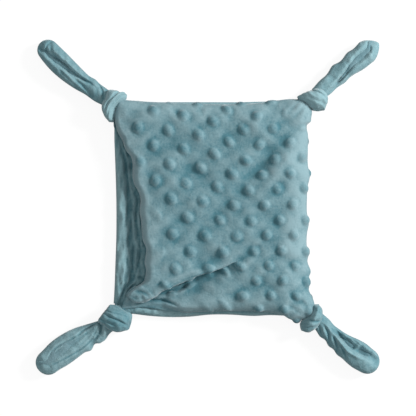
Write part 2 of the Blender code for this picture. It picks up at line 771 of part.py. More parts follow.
class Tail:
    """One tail's stations: where its middle line runs, and the section at each of them."""

    def __init__(self, corner):
        self.corner = corner
        self.length = TAIL_LENGTH * corner.tail_length_share
        self.along = Vector((cos(radians(corner.tail_angle)), sin(radians(corner.tail_angle)), 0))
        self.across = Vector((-self.along.y, self.along.x, 0))
        self.bow = TAIL_BOW * corner.tail_bow_share

    def middle(self, place):
        """The middle line: it leaves the root ball and bows to one side."""
        low = TAIL_HEIGHT / 2 - FLAT_DEPTH
        height = TAIL_ROOT_HEIGHT + (low - TAIL_ROOT_HEIGHT) * smooth(place / self.first_place())
        point = self.corner.tail_pivot + self.along * self.length * place
        point += self.across * self.bow * 4 * place * (1 - place)
        point.z = height
        return point

    def first_place(self):
        return self.corner.tail_station_shares[1][0]

    def ball_stations(self):
        """(offset along, radius) of the root ball's rings, from the knot's side to its middle."""
        for share in TAIL_ROOT_SHARES:
            yield TAIL_ROOT_RADIUS * share, TAIL_ROOT_RADIUS * sqrt(1 - share * share)

    def channel_depth(self, share, half_height):
        return half_height * CHANNEL_DEPTH_SHARE * share

    def section(self, centre, half_width, half_height, depth):
        """The outer layer's section: round below, with a channel down its upper side."""
        turns = [radians(angle) for angle in TAIL_OUTER_ANGLES]
        profile = [(half_width * cos(turn), half_height * sin(turn)) for turn in turns]
        lip, floor = half_width * CHANNEL_LIP_SHARE, half_width * CHANNEL_FLOOR_SHARE
        shoulder = half_width * (1 + CHANNEL_LIP_SHARE) / 2
        for side in (shoulder, lip):
            profile.append((side, self.top(side, half_width, half_height)))
        deep = self.top(floor, half_width, half_height) - depth
        profile += [(floor, deep), (-floor, deep)]
        for side in (-lip, -shoulder):
            profile.append((side, self.top(side, half_width, half_height)))
        return self.placed(centre, profile)

    def top(self, side, half_width, half_height):
        return half_height * sqrt(max(1 - (side / half_width) ** 2, 0))

    def placed(self, centre, profile):
        points = []
        for side, rise in profile:
            point = centre + self.across * side
            point.z = max(point.z + rise, 0)
            points.append(point)
        return points

    def outer_rings(self):
        root = self.corner.tail_pivot
        rings = [
            self.section(root + self.along * offset, radius, radius, 0)
            for offset, radius in self.ball_stations()
        ]
        for place, width, height, depth in [*self.corner.tail_station_shares, *self.tip_stations()]:
            rings.append(self.section(self.middle(place), *self.sizes(width, height, depth)))
        return rings

    def tip_stations(self):
        """Stations of the round end, which is half a circle in plan."""
        reach = TAIL_WIDTH / 2 * self.corner.tip_share / self.length
        for share in TAIL_TIP_TURN_SHARES:
            turn = pi / 2 * share
            height = TAIL_TIP_HEIGHT_SHARE + (1 - TAIL_TIP_HEIGHT_SHARE) * cos(turn)
            depth = max(1 / 2 - share, 0)
            yield 1 - reach * (1 - sin(turn)), self.corner.tip_share * cos(turn), height, depth

    def sizes(self, width, height, depth):
        half_height = TAIL_HEIGHT / 2 * height
        return TAIL_WIDTH / 2 * width, half_height, self.channel_depth(depth, half_height)

    def fold_rings(self):
        """The inner fold, which fills the channel where it is deep and keeps a gap to its walls."""
        rings = []
        for place, width, height, depth in self.corner.tail_station_shares:
            half_width, half_height, deep = self.sizes(width, height, depth)
            if depth < CHANNEL_DEPTH_SHARE / 2:
                continue
            floor = half_width * CHANNEL_FLOOR_SHARE
            low = self.top(floor, half_width, half_height) - deep + FOLD_GAP
            high = half_height * FOLD_TOP_SHARE
            middle, half_rise = (low + high) / 2, (high - low) / 2
            turns = [tau * i / FOLD_SEGMENTS for i in range(FOLD_SEGMENTS)]
            profile = [
                ((floor - FOLD_GAP) * cos(turn), middle + half_rise * sin(turn)) for turn in turns
            ]
            rings.append(self.placed(self.middle(place), profile))
        return rings


def make_tail(corner, parent, materials):
    """The tail's outer layer and the fold of the inner layer that lies in its channel."""
    tail = Tail(corner)
    vertices, faces = outward(*bridge(tail.outer_rings()))
    new_object(f"{corner.name}_tail", vertices, faces, materials["back"], parent)
    vertices, faces = outward(*bridge(tail.fold_rings()))
    new_object(f"{corner.name}_tail_fold", vertices, faces, materials["inner"], parent)


def clear_scene():
    for old in list(bpy.data.objects):
        bpy.data.objects.remove(old, do_unlink=True)


def centre_on_origin(blanket):
    """Moves the whole part so that the middle of its box stands over the origin."""
    bpy.context.view_layer.update()
    corners = [
        made.matrix_world @ Vector(corner)
        for made in bpy.data.objects
        if made.type != "EMPTY"
        for corner in made.bound_box
    ]
    low = Vector(min(c[i] for c in corners) for i in range(3))
    high = Vector(max(c[i] for c in corners) for i in range(3))
    blanket.location -= Vector(((low.x + high.x) / 2, (low.y + high.y) / 2, low.z))
    bpy.context.view_layer.update()


def main():
    clear_scene()
    materials = {
        "front": new_material("dimple_dot_plush", DEEP_TEAL, 0.9, 0.5),
        "back": new_material("smooth_plush", SMOOTH_TEAL, 0.85, 0.6),
        "inner": new_material("inner_plush", INNER_TEAL, 0.9, 0.5),
        "thread": new_material("seam_thread", THREAD_TEAL, 0.6, 0),
        "wadding": new_material("polyester_wadding", WADDING_WHITE, 0.95, 0.2),
    }
    blanket = new_empty("blanket", Vector())
    make_layers(blanket, materials)
    make_thread(blanket, materials["thread"])
    hinges = []
    for corner in CORNERS:
        make_neck(corner, blanket, materials["back"])
        knot = new_empty(f"{corner.name}_knot_hinge", corner.neck_pivot, blanket)
        make_knot(corner, knot, materials["back"])
        tail = new_empty(f"{corner.name}_tail_hinge", corner.tail_pivot, knot)
        make_tail(corner, tail, materials)
        hinges += [knot, tail]
    centre_on_origin(blanket)
    for hinge in hinges:
        place = ", ".join(f"{value:.6f}" for value in hinge.matrix_world.translation)
        print(hinge.name, "at", place)


main()
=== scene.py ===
"""Looks of the comfort blanket lovey: plush covers, knotted corners and soft tails.

A dimple-dot cover and a smooth back cover are drawn in between four corners. Each corner
runs through a gather into a knot and leaves it as a folded tail. Lengths are in metres.
"""

import json
import logging
import math
from dataclasses import dataclass, field
from enum import Enum

import bmesh
import bpy
import numpy as np
from bpy.types import Material, Node, NodeSocket, NodeTree, Object
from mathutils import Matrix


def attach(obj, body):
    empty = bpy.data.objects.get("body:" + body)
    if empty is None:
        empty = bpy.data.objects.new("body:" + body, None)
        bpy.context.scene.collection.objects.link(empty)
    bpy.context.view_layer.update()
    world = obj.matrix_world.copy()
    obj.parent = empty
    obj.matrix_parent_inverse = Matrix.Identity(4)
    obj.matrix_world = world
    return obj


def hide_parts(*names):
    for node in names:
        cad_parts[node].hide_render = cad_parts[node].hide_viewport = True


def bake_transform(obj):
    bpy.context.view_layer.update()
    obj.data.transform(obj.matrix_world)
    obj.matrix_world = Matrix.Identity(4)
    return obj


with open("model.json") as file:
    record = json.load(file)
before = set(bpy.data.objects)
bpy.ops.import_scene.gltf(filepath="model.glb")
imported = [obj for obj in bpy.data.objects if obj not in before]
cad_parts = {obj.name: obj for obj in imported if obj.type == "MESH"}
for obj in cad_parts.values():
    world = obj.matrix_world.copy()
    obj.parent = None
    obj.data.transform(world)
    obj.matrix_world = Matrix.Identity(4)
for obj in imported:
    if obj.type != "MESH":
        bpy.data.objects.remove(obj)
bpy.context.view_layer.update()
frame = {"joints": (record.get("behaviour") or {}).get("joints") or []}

LOG = logging.getLogger("lovey")

MM = 0.001
PIXEL = 0.9 * MM
PICTURE_MIDDLE = 208.0
ORIGIN_PIXEL = (209.0, 207.5)
BEND_START = 5.8 * MM
BEND_END = 3 * MM
SWING_START = 4 * MM
SWING_END = 8 * MM
LOWEST = 0.3 * MM

Array = np.ndarray
Points = tuple[tuple[float, float], ...]
Color = tuple[float, float, float]
Inputs = dict[str | int, object]


class Side(Enum):
    """The four sides of the body."""

    LEFT = "left"
    RIGHT = "right"
    BOTTOM = "bottom"
    TOP = "top"


class Corner(Enum):
    """The four knotted corners."""

    TOP_LEFT = "top_left"
    TOP_RIGHT = "top_right"
    BOTTOM_LEFT = "bottom_left"
    BOTTOM_RIGHT = "bottom_right"


Edges = dict[Side, Points]

# Outlines of the front cover and of the back, as pixel places of the photograph:
# (row, column) pairs for the left and right, (column, row) pairs for the bottom and top
FRONT_EDGE_PIXELS: Edges = {
    Side.LEFT: (
        (90, 118), (104, 116.5), (116, 115), (124, 115.5), (133, 118), (140, 122), (147, 124.5), (152, 127),
        (156, 130.5), (163, 132.5), (172, 132.5), (180, 133), (186, 135), (192, 138.5), (200, 140.5),
        (211, 139.5), (221, 141), (235, 142), (241, 143), (248, 146), (256, 145.5), (263, 144.5),
        (270, 146), (277, 145), (282, 143), (286, 137), (291, 130), (297, 126), (306, 122), (322, 120),
    ),
    Side.RIGHT: (
        (92, 309), (104, 310.8), (112, 311.3), (119, 311.2), (122, 310.6), (124.5, 307.4), (128, 306.8),
        (134, 308), (150, 308), (165, 308), (176, 310), (186, 308), (200, 307), (212, 307), (224, 309),
        (232, 307.3), (246, 307), (254, 309), (261, 307.5), (272, 310.8), (278, 309), (284, 310),
        (290, 309), (297, 312.4), (303, 314.4), (309, 314), (316, 312.5), (326, 312),
    ),
    Side.BOTTOM: (
        (108, 311), (130, 309), (150, 307.5), (165, 309), (183, 311.5), (207, 312), (230, 311.5),
        (260, 312), (274, 313.5), (281, 316), (286, 319), (292, 320.8), (299, 320), (308, 319), (324, 319),
    ),
    Side.TOP: (
        (106, 98), (128, 99.5), (150, 101.5), (170, 102.5), (190, 103.5), (215, 104), (240, 104),
        (262, 102.5), (275, 100.5), (288, 99), (300, 99.5), (318, 101),
    ),
}
BACK_EDGE_PIXELS: Edges = {
    Side.LEFT: (
        (90, 116), (112, 114.5), (134, 114), (165, 115), (200, 116), (235, 116), (266, 115),
        (292, 114), (322, 112),
    ),
    Side.RIGHT: ((92, 306), (116, 307), (150, 305.5), (210, 305), (265, 306), (300, 309), (326, 311)),
    Side.BOTTOM: (
        (108, 313), (130, 314), (150, 316.3), (165, 317.3), (190, 317), (210, 315), (230, 315),
        (255, 316.3), (270, 315.5), (284, 316), (300, 317), (324, 318),
    ),
    Side.TOP: (
        (106, 100), (128, 100), (150, 101.5), (190, 101.8), (215, 101.8), (240, 101.8), (262, 101.3),
        (288, 101), (318, 103),
    ),
}


def photo_x(column: Array | float) -> Array | float:
    """The place across the frame of a pixel column."""
    return (column - ORIGIN_PIXEL[0]) * PIXEL


def photo_y(row: Array | float) -> Array | float:
    """The place along the frame of a pixel row."""
    return (ORIGIN_PIXEL[1] - row) * PIXEL


def column_of(x: Array | float) -> Array | float:
    """The pixel column of a place across the frame."""
    return ORIGIN_PIXEL[0] + x / PIXEL


def row_of(y: Array | float) -> Array | float:
    """The pixel row of a place along the frame."""
    return ORIGIN_PIXEL[1] - y / PIXEL


def photo_path(points: Points) -> Array:
    """A list of pixel places as places in the frame."""
    return np.array([(photo_x(column), photo_y(row)) for column, row in points])


def smooth(share: Array) -> Array:
    """An S-curve from 0 to 1."""
    share = np.clip(share, 0, 1)
    return share * share * (3 - 2 * share)


def rounding(share: Array) -> Array:
    """A quarter circle: 0 at 0, and 1 at 1 and beyond."""
    return np.sqrt(1 - (1 - np.clip(share, 0, 1)) ** 2)


def signed_power(values: Array, power: Array | float) -> Array:
    """The power of each value's size, with the value's own sign."""
    return np.sign(values) * np.abs(values) ** power


def turns(count: int) -> Array:
    """Angles once round, without the last."""
    return np.arange(count) / count * math.tau


def heading(degrees: float) -> Array:
    """The level direction at an angle."""
    turn = math.radians(degrees)
    return np.array((math.cos(turn), math.sin(turn), 0.0))


def eased(table: Points, places: Array) -> Array:
    """Reads a table of (place, value) pairs along a soft curve.

    Args:
        table: Pairs in rising order of place.
        places: Where the values are wanted.

    Returns:
        The values, held level beyond the table's ends.
    """
    rows = np.array(table, float)
    known, values = rows[:, 0], rows[:, 1]
    slopes = np.gradient(values, known)
    places = np.clip(places, known[0], known[-1])
    index = np.clip(np.searchsorted(known, places) - 1, 0, len(known) - 2)
    width = known[index + 1] - known[index]
    t = (places - known[index]) / width
    return (
        values[index] * (2 * t**3 - 3 * t**2 + 1)
        + values[index + 1] * (3 * t**2 - 2 * t**3)
        + slopes[index] * width * (t**3 - 2 * t**2 + t)
        + slopes[index + 1] * width * (t**3 - t**2)
    )


def softened(path: Array, steps: int = 5) -> Array:
    """The path with soft turns, as more and shorter straight runs.

    Args:
        path: The path's points, one row each.
        steps: How many runs each run becomes.

    Returns:
        The points of the softer path.
    """
    places = np.arange(len(path), dtype=float)
    fine = np.linspace(0, len(path) - 1, (len(path) - 1) * steps + 1)
    columns = [eased(tuple(zip(places, path[:, i])), fine) for i in range(path.shape[1])]
    return np.stack(columns, axis=1)


def beside(path: Array, plan: Array) -> tuple[Array, Array]:
    """Measures points against a path.

    Args:
        path: The path's points, n by 2.
        plan: The points to measure, m by 2.

    Returns:
        The place along the path from 0 to 1, and the distance, above 0 on the path's left.
    """
    lengths = np.linalg.norm(np.diff(path, axis=0), axis=1)
    before = np.concatenate(([0], np.cumsum(lengths)))
    nearest = np.full(len(plan), np.inf)
    place = np.zeros(len(plan))
    side = np.zeros(len(plan))
    for start, end, length, done in zip(path, path[1:], lengths, before):
        direction = (end - start) / length
        away = plan - start
        along = np.clip(away @ direction, 0, length)
        gap = away - along[:, None] * direction
        distance = np.linalg.norm(gap, axis=1)
        closer = distance < nearest
        nearest = np.where(closer, distance, nearest)
        place = np.where(closer, (done + along) / before[-1], place)
        side = np.where(closer, direction[0] * gap[:, 1] - direction[1] * gap[:, 0], side)
    return place, np.where(side < 0, -nearest, nearest)


def ripple(plan: Array, length: float, seed: int, waves: int = 14) -> Array:
    """A soft random field of about unit height, the same at every run.

    Args:
        plan: The points, with any number of columns.
        length: The usual distance from crest to crest.
        seed: Picks the field.
        waves: How many plain waves it adds up.

    Returns:
        One value for each point.
    """
    random = np.random.default_rng(seed)
    total = np.zeros(len(plan))
    for _ in range(waves):
        direction = random.normal(size=plan.shape[1])
        direction *= random.uniform(0.6, 1.4) / np.linalg.norm(direction)
        total += np.sin(plan @ direction * math.tau / length + random.uniform(0, math.tau))
    return total / math.sqrt(waves / 2)


@dataclass(frozen=True)
class Crease:
    """A fold line in the cloth, seen from above: it sinks by depth and swells beside it."""

    depth: float
    width: float
    swell: float
    pixels: Points

    def rise(self, plan: Array) -> Array:
        """The height that the crease adds at each point.

        Args:
            plan: The points, n by 2.

        Returns:
            One height for each point.
        """
        place, offset = beside(softened(photo_path(self.pixels)), plan)
        taper = np.sqrt(np.clip(np.sin(np.pi * np.clip(place, 0.02, 0.98)), 0, 1))
        groove = -self.depth * np.exp(-((offset / self.width) ** 2))
        hump = self.swell * np.exp(-(((np.abs(offset) - 2.4 * self.width) / (1.5 * self.width)) ** 2))
        return (groove + hump) * taper


def creases(*rows: tuple) -> tuple[Crease, ...]:
    """Creases from rows of depth, width and swell in millimetres, then pixel places."""
    return tuple(Crease(row[0] * MM, row[1] * MM, row[2] * MM, row[3:]) for row in rows)


def relief(lines: tuple[Crease, ...], plan: Array) -> Array:
    """The height that all the creases add at each point.

    Args:
        lines: The creases.
        plan: The points, n by 2.

    Returns:
        One height for each point.
    """
    total = np.zeros(len(plan))
    for crease in lines:
        total += crease.rise(plan)
    return total


def grid_faces(rows: int, columns: int) -> Array:
    """Faces of a grid of points stored row by row, facing up for rising x and y."""
    first = (np.arange(rows - 1)[:, None] * columns + np.arange(columns - 1)[None, :]).ravel()
    return np.stack((first, first + 1, first + columns + 1, first + columns), axis=1)


def tube_faces(rings: int, sides: int) -> list[tuple[int, ...]]:
    """Faces of a tube of closed rings, with both ends filled.

    Args:
        rings: How many rings of points there are.
        sides: How many points each ring has.

    Returns:
        The corners of each face.
    """
    faces = []
    for low in range(0, (rings - 1) * sides, sides):
        for i in range(sides):
            after = (i + 1) % sides
            faces.append((low + i, low + after, low + sides + after, low + sides + i))
    faces.append(tuple(reversed(range(sides))))
    faces.append(tuple(range((rings - 1) * sides, rings * sides)))
    return faces


def add_object(name: str, data: bpy.types.ID) -> Object:
    """A new object in the scene.

    Args:
        name: Its name.
        data: Its mesh, camera or lamp.

    Returns:
        The object.
    """
    made = bpy.data.objects.new(name, data)
    bpy.context.scene.collection.objects.link(made)
    return made


def new_mesh(name: str, points: Array, faces: list | Array) -> Object:
    """A smooth-shaded mesh object at the origin.

    Args:
        name: The object's name.
        points: Its vertices, one row each.
        faces: The corners of each face.

    Returns:
        The object.
    """
    mesh = bpy.data.meshes.new(name)
    mesh.from_pydata(np.asarray(points).tolist(), [], [tuple(map(int, face)) for face in faces])
    mesh.validate()
    mesh.shade_smooth()
    return add_object(name, mesh)


def read(items: bpy.types.bpy_prop_collection, name: str, size: int) -> Array:
    """One property of each item in a mesh's list, as rows of this size.

    Args:
        items: The list.
        name: The property's name.
        size: How many numbers the property has.

    Returns:
        One row for each item.
    """
    flat = np.zeros(len(items) * size, np.float32)
    items.foreach_get(name, flat)
    return flat.reshape(-1, size).astype(float)


def values_of(made: Object, name: str) -> Array:
    """A number stored on each point, 0 where the piece doesn't have it.

    Args:
        made: The piece.
        name: The attribute's name.

    Returns:
        One number for each point.
    """
    if name not in made.data.attributes:
        return np.zeros(len(made.data.vertices))
    return read(made.data.attributes[name].data, "value", 1)[:, 0]


def set_attribute(made: Object, name: str, values: Array) -> None:
    """Stores one number or one vector for each vertex.

    Args:
        made: The object.
        name: The attribute's name.
        values: One number, or one row of three, for each vertex.
    """
    kind, part = ("FLOAT", "value") if values.ndim == 1 else ("FLOAT_VECTOR", "vector")
    attribute = made.data.attributes.new(name, kind, "POINT")
    attribute.data.foreach_set(part, values.astype(np.float32).ravel())


def settle(made: Object) -> Object:
    """Turns what the object's modifiers make into its plain mesh, and removes them.

    Args:
        made: The object.

    Returns:
        The same object.
    """
    graph = bpy.context.evaluated_depsgraph_get()
    graph.update()
    final = bpy.data.meshes.new_from_object(made.evaluated_get(graph), depsgraph=graph)
    old = made.data
    made.modifiers.clear()
    made.data = final
    bpy.data.meshes.remove(old)
    final.name = made.name
    final.shade_smooth()
    return made


def outward(made: Object) -> Object:
    """Turns every face of a closed mesh so that it points out.

    Args:
        made: The object.

    Returns:
        The same object.
    """
    work = bmesh.new()
    work.from_mesh(made.data)
    bmesh.ops.recalc_face_normals(work, faces=work.faces)
    work.to_mesh(made.data)
    work.free()
    made.data.shade_smooth()
    return made


def thicken(made: Object, thickness: float) -> Object:
    """Gives a sheet its thickness, under the side that shows.

    Args:
        made: The sheet.
        thickness: How thick it becomes.

    Returns:
        The same object.
    """
    solid = made.modifiers.new("thickness", "SOLIDIFY")
    solid.thickness = thickness
    solid.offset = -1
    solid.use_rim = True
    solid.use_quality_normals = True
    return settle(made)


@dataclass(frozen=True)
class Nodes:
    """A node tree that is being built."""

    tree: NodeTree

    def add(self, kind: str, inputs: Inputs | None = None, **settings: object) -> Node:
        """Adds a node.

        Args:
            kind: The node's type.
            inputs: For each input by name or number, its value or the output that feeds it.
            settings: The node's own properties.

        Returns:
            The new node.
        """
        node = self.tree.nodes.new(kind)
        for name, value in settings.items():
            setattr(node, name, value)
        self.feed(node, inputs or {})
        return node

    def feed(self, node: Node, inputs: Inputs) -> None:
        """Sets a node's inputs to values, or joins them to outputs.

        Args:
            node: The node.
            inputs: For each input by name or number, its value or the output that feeds it.
        """
        for name, value in inputs.items():
            if isinstance(value, NodeSocket):
                self.tree.links.new(value, node.inputs[name])
            else:
                node.inputs[name].default_value = value

    def math(self, operation: str, *values: object) -> NodeSocket:
        """What an operation makes of numbers and outputs."""
        return self.add("ShaderNodeMath", dict(enumerate(values)), operation=operation).outputs[0]


def new_group(
    name: str, kind: str, inputs: dict[str, str], outputs: dict[str, str]
) -> tuple[Nodes, bpy.types.bpy_prop_collection, Node]:
    """A node group with its sockets.

    Args:
        name: The group's name.
        kind: The type of its tree.
        inputs: The name and kind of each input.
        outputs: The name and kind of each output.

    Returns:
        Its nodes, what it is given, and the node that puts its results out.
    """
    tree = bpy.data.node_groups.new(name, kind)
    for way, sockets in (("INPUT", inputs), ("OUTPUT", outputs)):
        for socket, of_kind in sockets.items():
            tree.interface.new_socket(name=socket, in_out=way, socket_type=f"NodeSocket{of_kind}")
    nodes = Nodes(tree)
    return nodes, nodes.add("NodeGroupInput").outputs, nodes.add("NodeGroupOutput")


def run_tree(made: Object, tree: NodeTree, values: dict[str, object]) -> Object:
    """Runs a Geometry Nodes tree on an object with these inputs, and keeps the plain mesh.

    Args:
        made: The object.
        tree: The Geometry Nodes tree.
        values: What its named inputs are set to.

    Returns:
        The same object.
    """
    modifier = made.modifiers.new(tree.name, "NODES")
    modifier.node_group = tree
    for item in tree.interface.items_tree:
        if item.in_out == "INPUT" and item.name in values:
            modifier[item.identifier] = values[item.name]
    return settle(made)


def put_out_plain(nodes: Nodes, shape: NodeSocket, finish: NodeSocket, result: Node) -> None:
    """Ends a Geometry Nodes tree with real instances that carry the finish.

    Args:
        nodes: The tree's nodes.
        shape: What the tree has made.
        finish: The output that gives the material.
        result: The node that puts the tree's result out.
    """
    plain = nodes.add("GeometryNodeRealizeInstances", {0: shape})
    dress = nodes.add("GeometryNodeSetMaterial", {"Geometry": plain.outputs[0], "Material": finish})
    nodes.feed(result, {0: dress.outputs[0]})


def new_material(name: str) -> tuple[Material, Nodes, Node]:
    """Starts a material.

    Args:
        name: Its name.

    Returns:
        The material, its nodes and its shader.
    """
    made = bpy.data.materials.new(name)
    made.use_nodes = True
    return made, Nodes(made.node_tree), made.node_tree.nodes["Principled BSDF"]


@dataclass(frozen=True)
class Pile:
    """A plush finish: its colours and how its pile lies."""

    name: str
    dark: Color
    light: Color
    sheen: float = 0.7
    sheen_roughness: float = 0.38
    sheen_tint: Color = (0.82, 0.87, 0.88)
    shine: float = 0.25
    patch: float = 11 * MM
    grain: float = 1.9 * MM
    bump: float = 0.9 * MM
    bump_strength: float = 0.6
    roughness: float = 0.88

    def material(self, group: NodeTree) -> Material:
        """Builds the finish round the shared pile group.

        Args:
            group: The pile group.

        Returns:
            The material.
        """
        made, nodes, shader = new_material(self.name)
        place = nodes.add("ShaderNodeTexCoord").outputs["Object"]
        pile = nodes.add("ShaderNodeGroup", node_tree=group)
        nodes.feed(pile, {
            "Place": place, "Dark": (*self.dark, 1), "Light": (*self.light, 1),
            "Patch": 1 / self.patch, "Grain": 1 / self.grain, "Roughness": self.roughness,
        })
        bump = nodes.add("ShaderNodeBump", {
            "Strength": self.bump_strength, "Distance": self.bump, "Height": pile.outputs["Height"],
        })
        nodes.feed(shader, {
            "Base Color": pile.outputs["Color"], "Roughness": pile.outputs["Roughness"],
            "Normal": bump.outputs["Normal"], "Metallic": 0, "Specular IOR Level": self.shine,
            "Sheen Weight": self.sheen, "Sheen Roughness": self.sheen_roughness,
            "Sheen Tint": (*self.sheen_tint, 1),
        })
        made.diffuse_color = (*self.light, 1)
        return made


PATCH_DETAIL = (6, 0.68)
GRAIN_DETAIL = (4, 0.7)
GRAIN_SHARE = 0.4
GRAIN_ROUGHNESS = 0.1
PATCH_HEIGHT = 0.8


def pile_group() -> NodeTree:
    """The shared look of short pile: brushed patches, fine grain and the painted light and shade held in the
    tone attribute.

    Returns:
        A shader node group that puts out Color, Roughness and Height.
    """
    nodes, given, result = new_group(
        "short_pile", "ShaderNodeTree",
        {
            "Place": "Vector", "Dark": "Color", "Light": "Color",
            "Patch": "Float", "Grain": "Float", "Roughness": "Float",
        },
        {"Color": "Color", "Roughness": "Float", "Height": "Float"},
    )

    def noise(scale: str, detail: float, rough: float) -> NodeSocket:
        """A noise over the piece, at the scale that the group is given."""
        inputs = {"Vector": given["Place"], "Scale": given[scale], "Detail": detail, "Roughness": rough}
        return nodes.add("ShaderNodeTexNoise", inputs).outputs["Fac"]

    def spread(value: NodeSocket) -> NodeSocket:
        """The middle of a noise's range, stretched to the whole of it."""
        return nodes.add("ShaderNodeMapRange", {"Value": value, "From Min": 0.3, "From Max": 0.7}).outputs[0]

    patches = noise("Patch", *PATCH_DETAIL)
    fibres = noise("Grain", *GRAIN_DETAIL)
    # Painted light and shade, read from the tone attribute
    tone = nodes.add("ShaderNodeAttribute", attribute_name="tone").outputs["Fac"]
    fine = nodes.math("MULTIPLY", spread(fibres), GRAIN_SHARE)
    share = nodes.math("ADD", nodes.math("MULTIPLY", spread(patches), 1 - GRAIN_SHARE), fine)
    blend = nodes.add(
        "ShaderNodeMix",
        {"Factor": nodes.math("ADD", share, tone), "A": given["Dark"], "B": given["Light"]},
        data_type="RGBA",
    )
    rougher = nodes.math("MULTIPLY", fibres, GRAIN_ROUGHNESS)
    nodes.feed(result, {
        "Color": blend.outputs["Result"],
        "Roughness": nodes.math("ADD", given["Roughness"], rougher),
        "Height": nodes.math("ADD", fibres, nodes.math("MULTIPLY", patches, PATCH_HEIGHT)),
    })
    return nodes.tree


@dataclass(frozen=True)
class Thread:
    """Twisted sewing thread."""

    name: str = "seam_thread"
    color: Color = (0.075, 0.18, 0.21)
    twist: float = 900
    distortion: float = 2
    shades: tuple[float, float] = (0.7, 1.3)
    bump: float = 0.1 * MM
    bump_strength: float = 0.5
    roughness: float = 0.6
    shine: float = 0.35

    def material(self) -> Material:
        """A matt thread with its twist as bands.

        Returns:
            The material.
        """
        made, nodes, shader = new_material(self.name)
        place = nodes.add("ShaderNodeTexCoord").outputs["Object"]
        bands = {"Vector": place, "Scale": self.twist, "Distortion": self.distortion}
        twist = nodes.add("ShaderNodeTexWave", bands).outputs["Fac"]
        dark, light = ((*(share * value for value in self.color), 1) for share in self.shades)
        ramp = nodes.add("ShaderNodeMix", {"Factor": twist, "A": dark, "B": light}, data_type="RGBA")
        raised = {"Strength": self.bump_strength, "Distance": self.bump, "Height": twist}
        bump = nodes.add("ShaderNodeBump", raised)
        nodes.feed(shader, {
            "Base Color": ramp.outputs["Result"], "Normal": bump.outputs["Normal"],
            "Roughness": self.roughness, "Specular IOR Level": self.shine,
        })
        return made


@dataclass(frozen=True)
class Plan:
    """The body's outline, read from the side tables."""

    front: Edges = field(default_factory=lambda: FRONT_EDGE_PIXELS)
    back: Edges = field(default_factory=lambda: BACK_EDGE_PIXELS)

    def edge(self, edges: Edges, side: Side, places: Array) -> Array:
        """Where a side runs: across at places y for the left or right, else along at places x.

        Args:
            edges: The side tables of the front or the back.
            side: Which side.
            places: Places along for the left or right side, else places across.

        Returns:
            Where the side is, in the other direction.
        """
        if side in (Side.LEFT, Side.RIGHT):
            return photo_x(eased(edges[side], row_of(places)))
        return photo_y(eased(edges[side], column_of(places)))

    def gaps(self, plan: Array) -> dict[Side, Array]:
        """How far points lie inside each side of the front cover.

        Args:
            plan: The points, n by 2.

        Returns:
            For each side, one distance for each point.
        """
        x, y = plan[:, 0], plan[:, 1]
        return {
            Side.LEFT: x - self.edge(self.front, Side.LEFT, y),
            Side.RIGHT: self.edge(self.front, Side.RIGHT, y) - x,
            Side.BOTTOM: y - self.edge(self.front, Side.BOTTOM, x),
            Side.TOP: self.edge(self.front, Side.TOP, x) - y,
        }

    def inside(self, plan: Array) -> Array:
        """How far points lie inside the nearest side of the front cover."""
        return np.minimum.reduce(list(self.gaps(plan).values()))


@dataclass(frozen=True)
class CornerPlace:
    """Where one corner's joints are, and the directions of its knot and tail."""

    corner: Corner
    knot_angle: float
    tail_angle: float

    def joint(self, name: str) -> Array:
        """The place of this corner's joint of that name."""
        name = f"{self.corner.value}_{name}"
        return np.array(next(joint["pos_m"] for joint in frame["joints"] if joint["name"] == name))

    @property
    def neck(self) -> Array:
        """The hinge between the body and the knot."""
        return self.joint("knot_lift")

    @property
    def root(self) -> Array:
        """The hinge between the knot and the tail."""
        return self.joint("tail_swing")

    @property
    def axis(self) -> Array:
        """Along the knot, away from the body."""
        return heading(self.knot_angle)

    @property
    def tail_axis(self) -> Array:
        """Along the tail, away from the knot."""
        return heading(self.tail_angle)

    def beyond(self, plan: Array) -> Array:
        """How far points lie past the neck's hinge, along the knot."""
        return (plan[:, :2] - self.neck[:2]) @ self.axis[:2]


CORNER_PLACES = (
    CornerPlace(Corner.TOP_LEFT, 140, 138.1),
    CornerPlace(Corner.TOP_RIGHT, 50, 39.6),
    CornerPlace(Corner.BOTTOM_LEFT, 217, 214.4),
    CornerPlace(Corner.BOTTOM_RIGHT, -36, -37.3),
)


def in_order(left: float, right: float, bottom: float, top: float) -> dict[Side, float]:
    """A length in millimetres for each side."""
    return {side: value * MM for side, value in zip(Side, (left, right, bottom, top))}


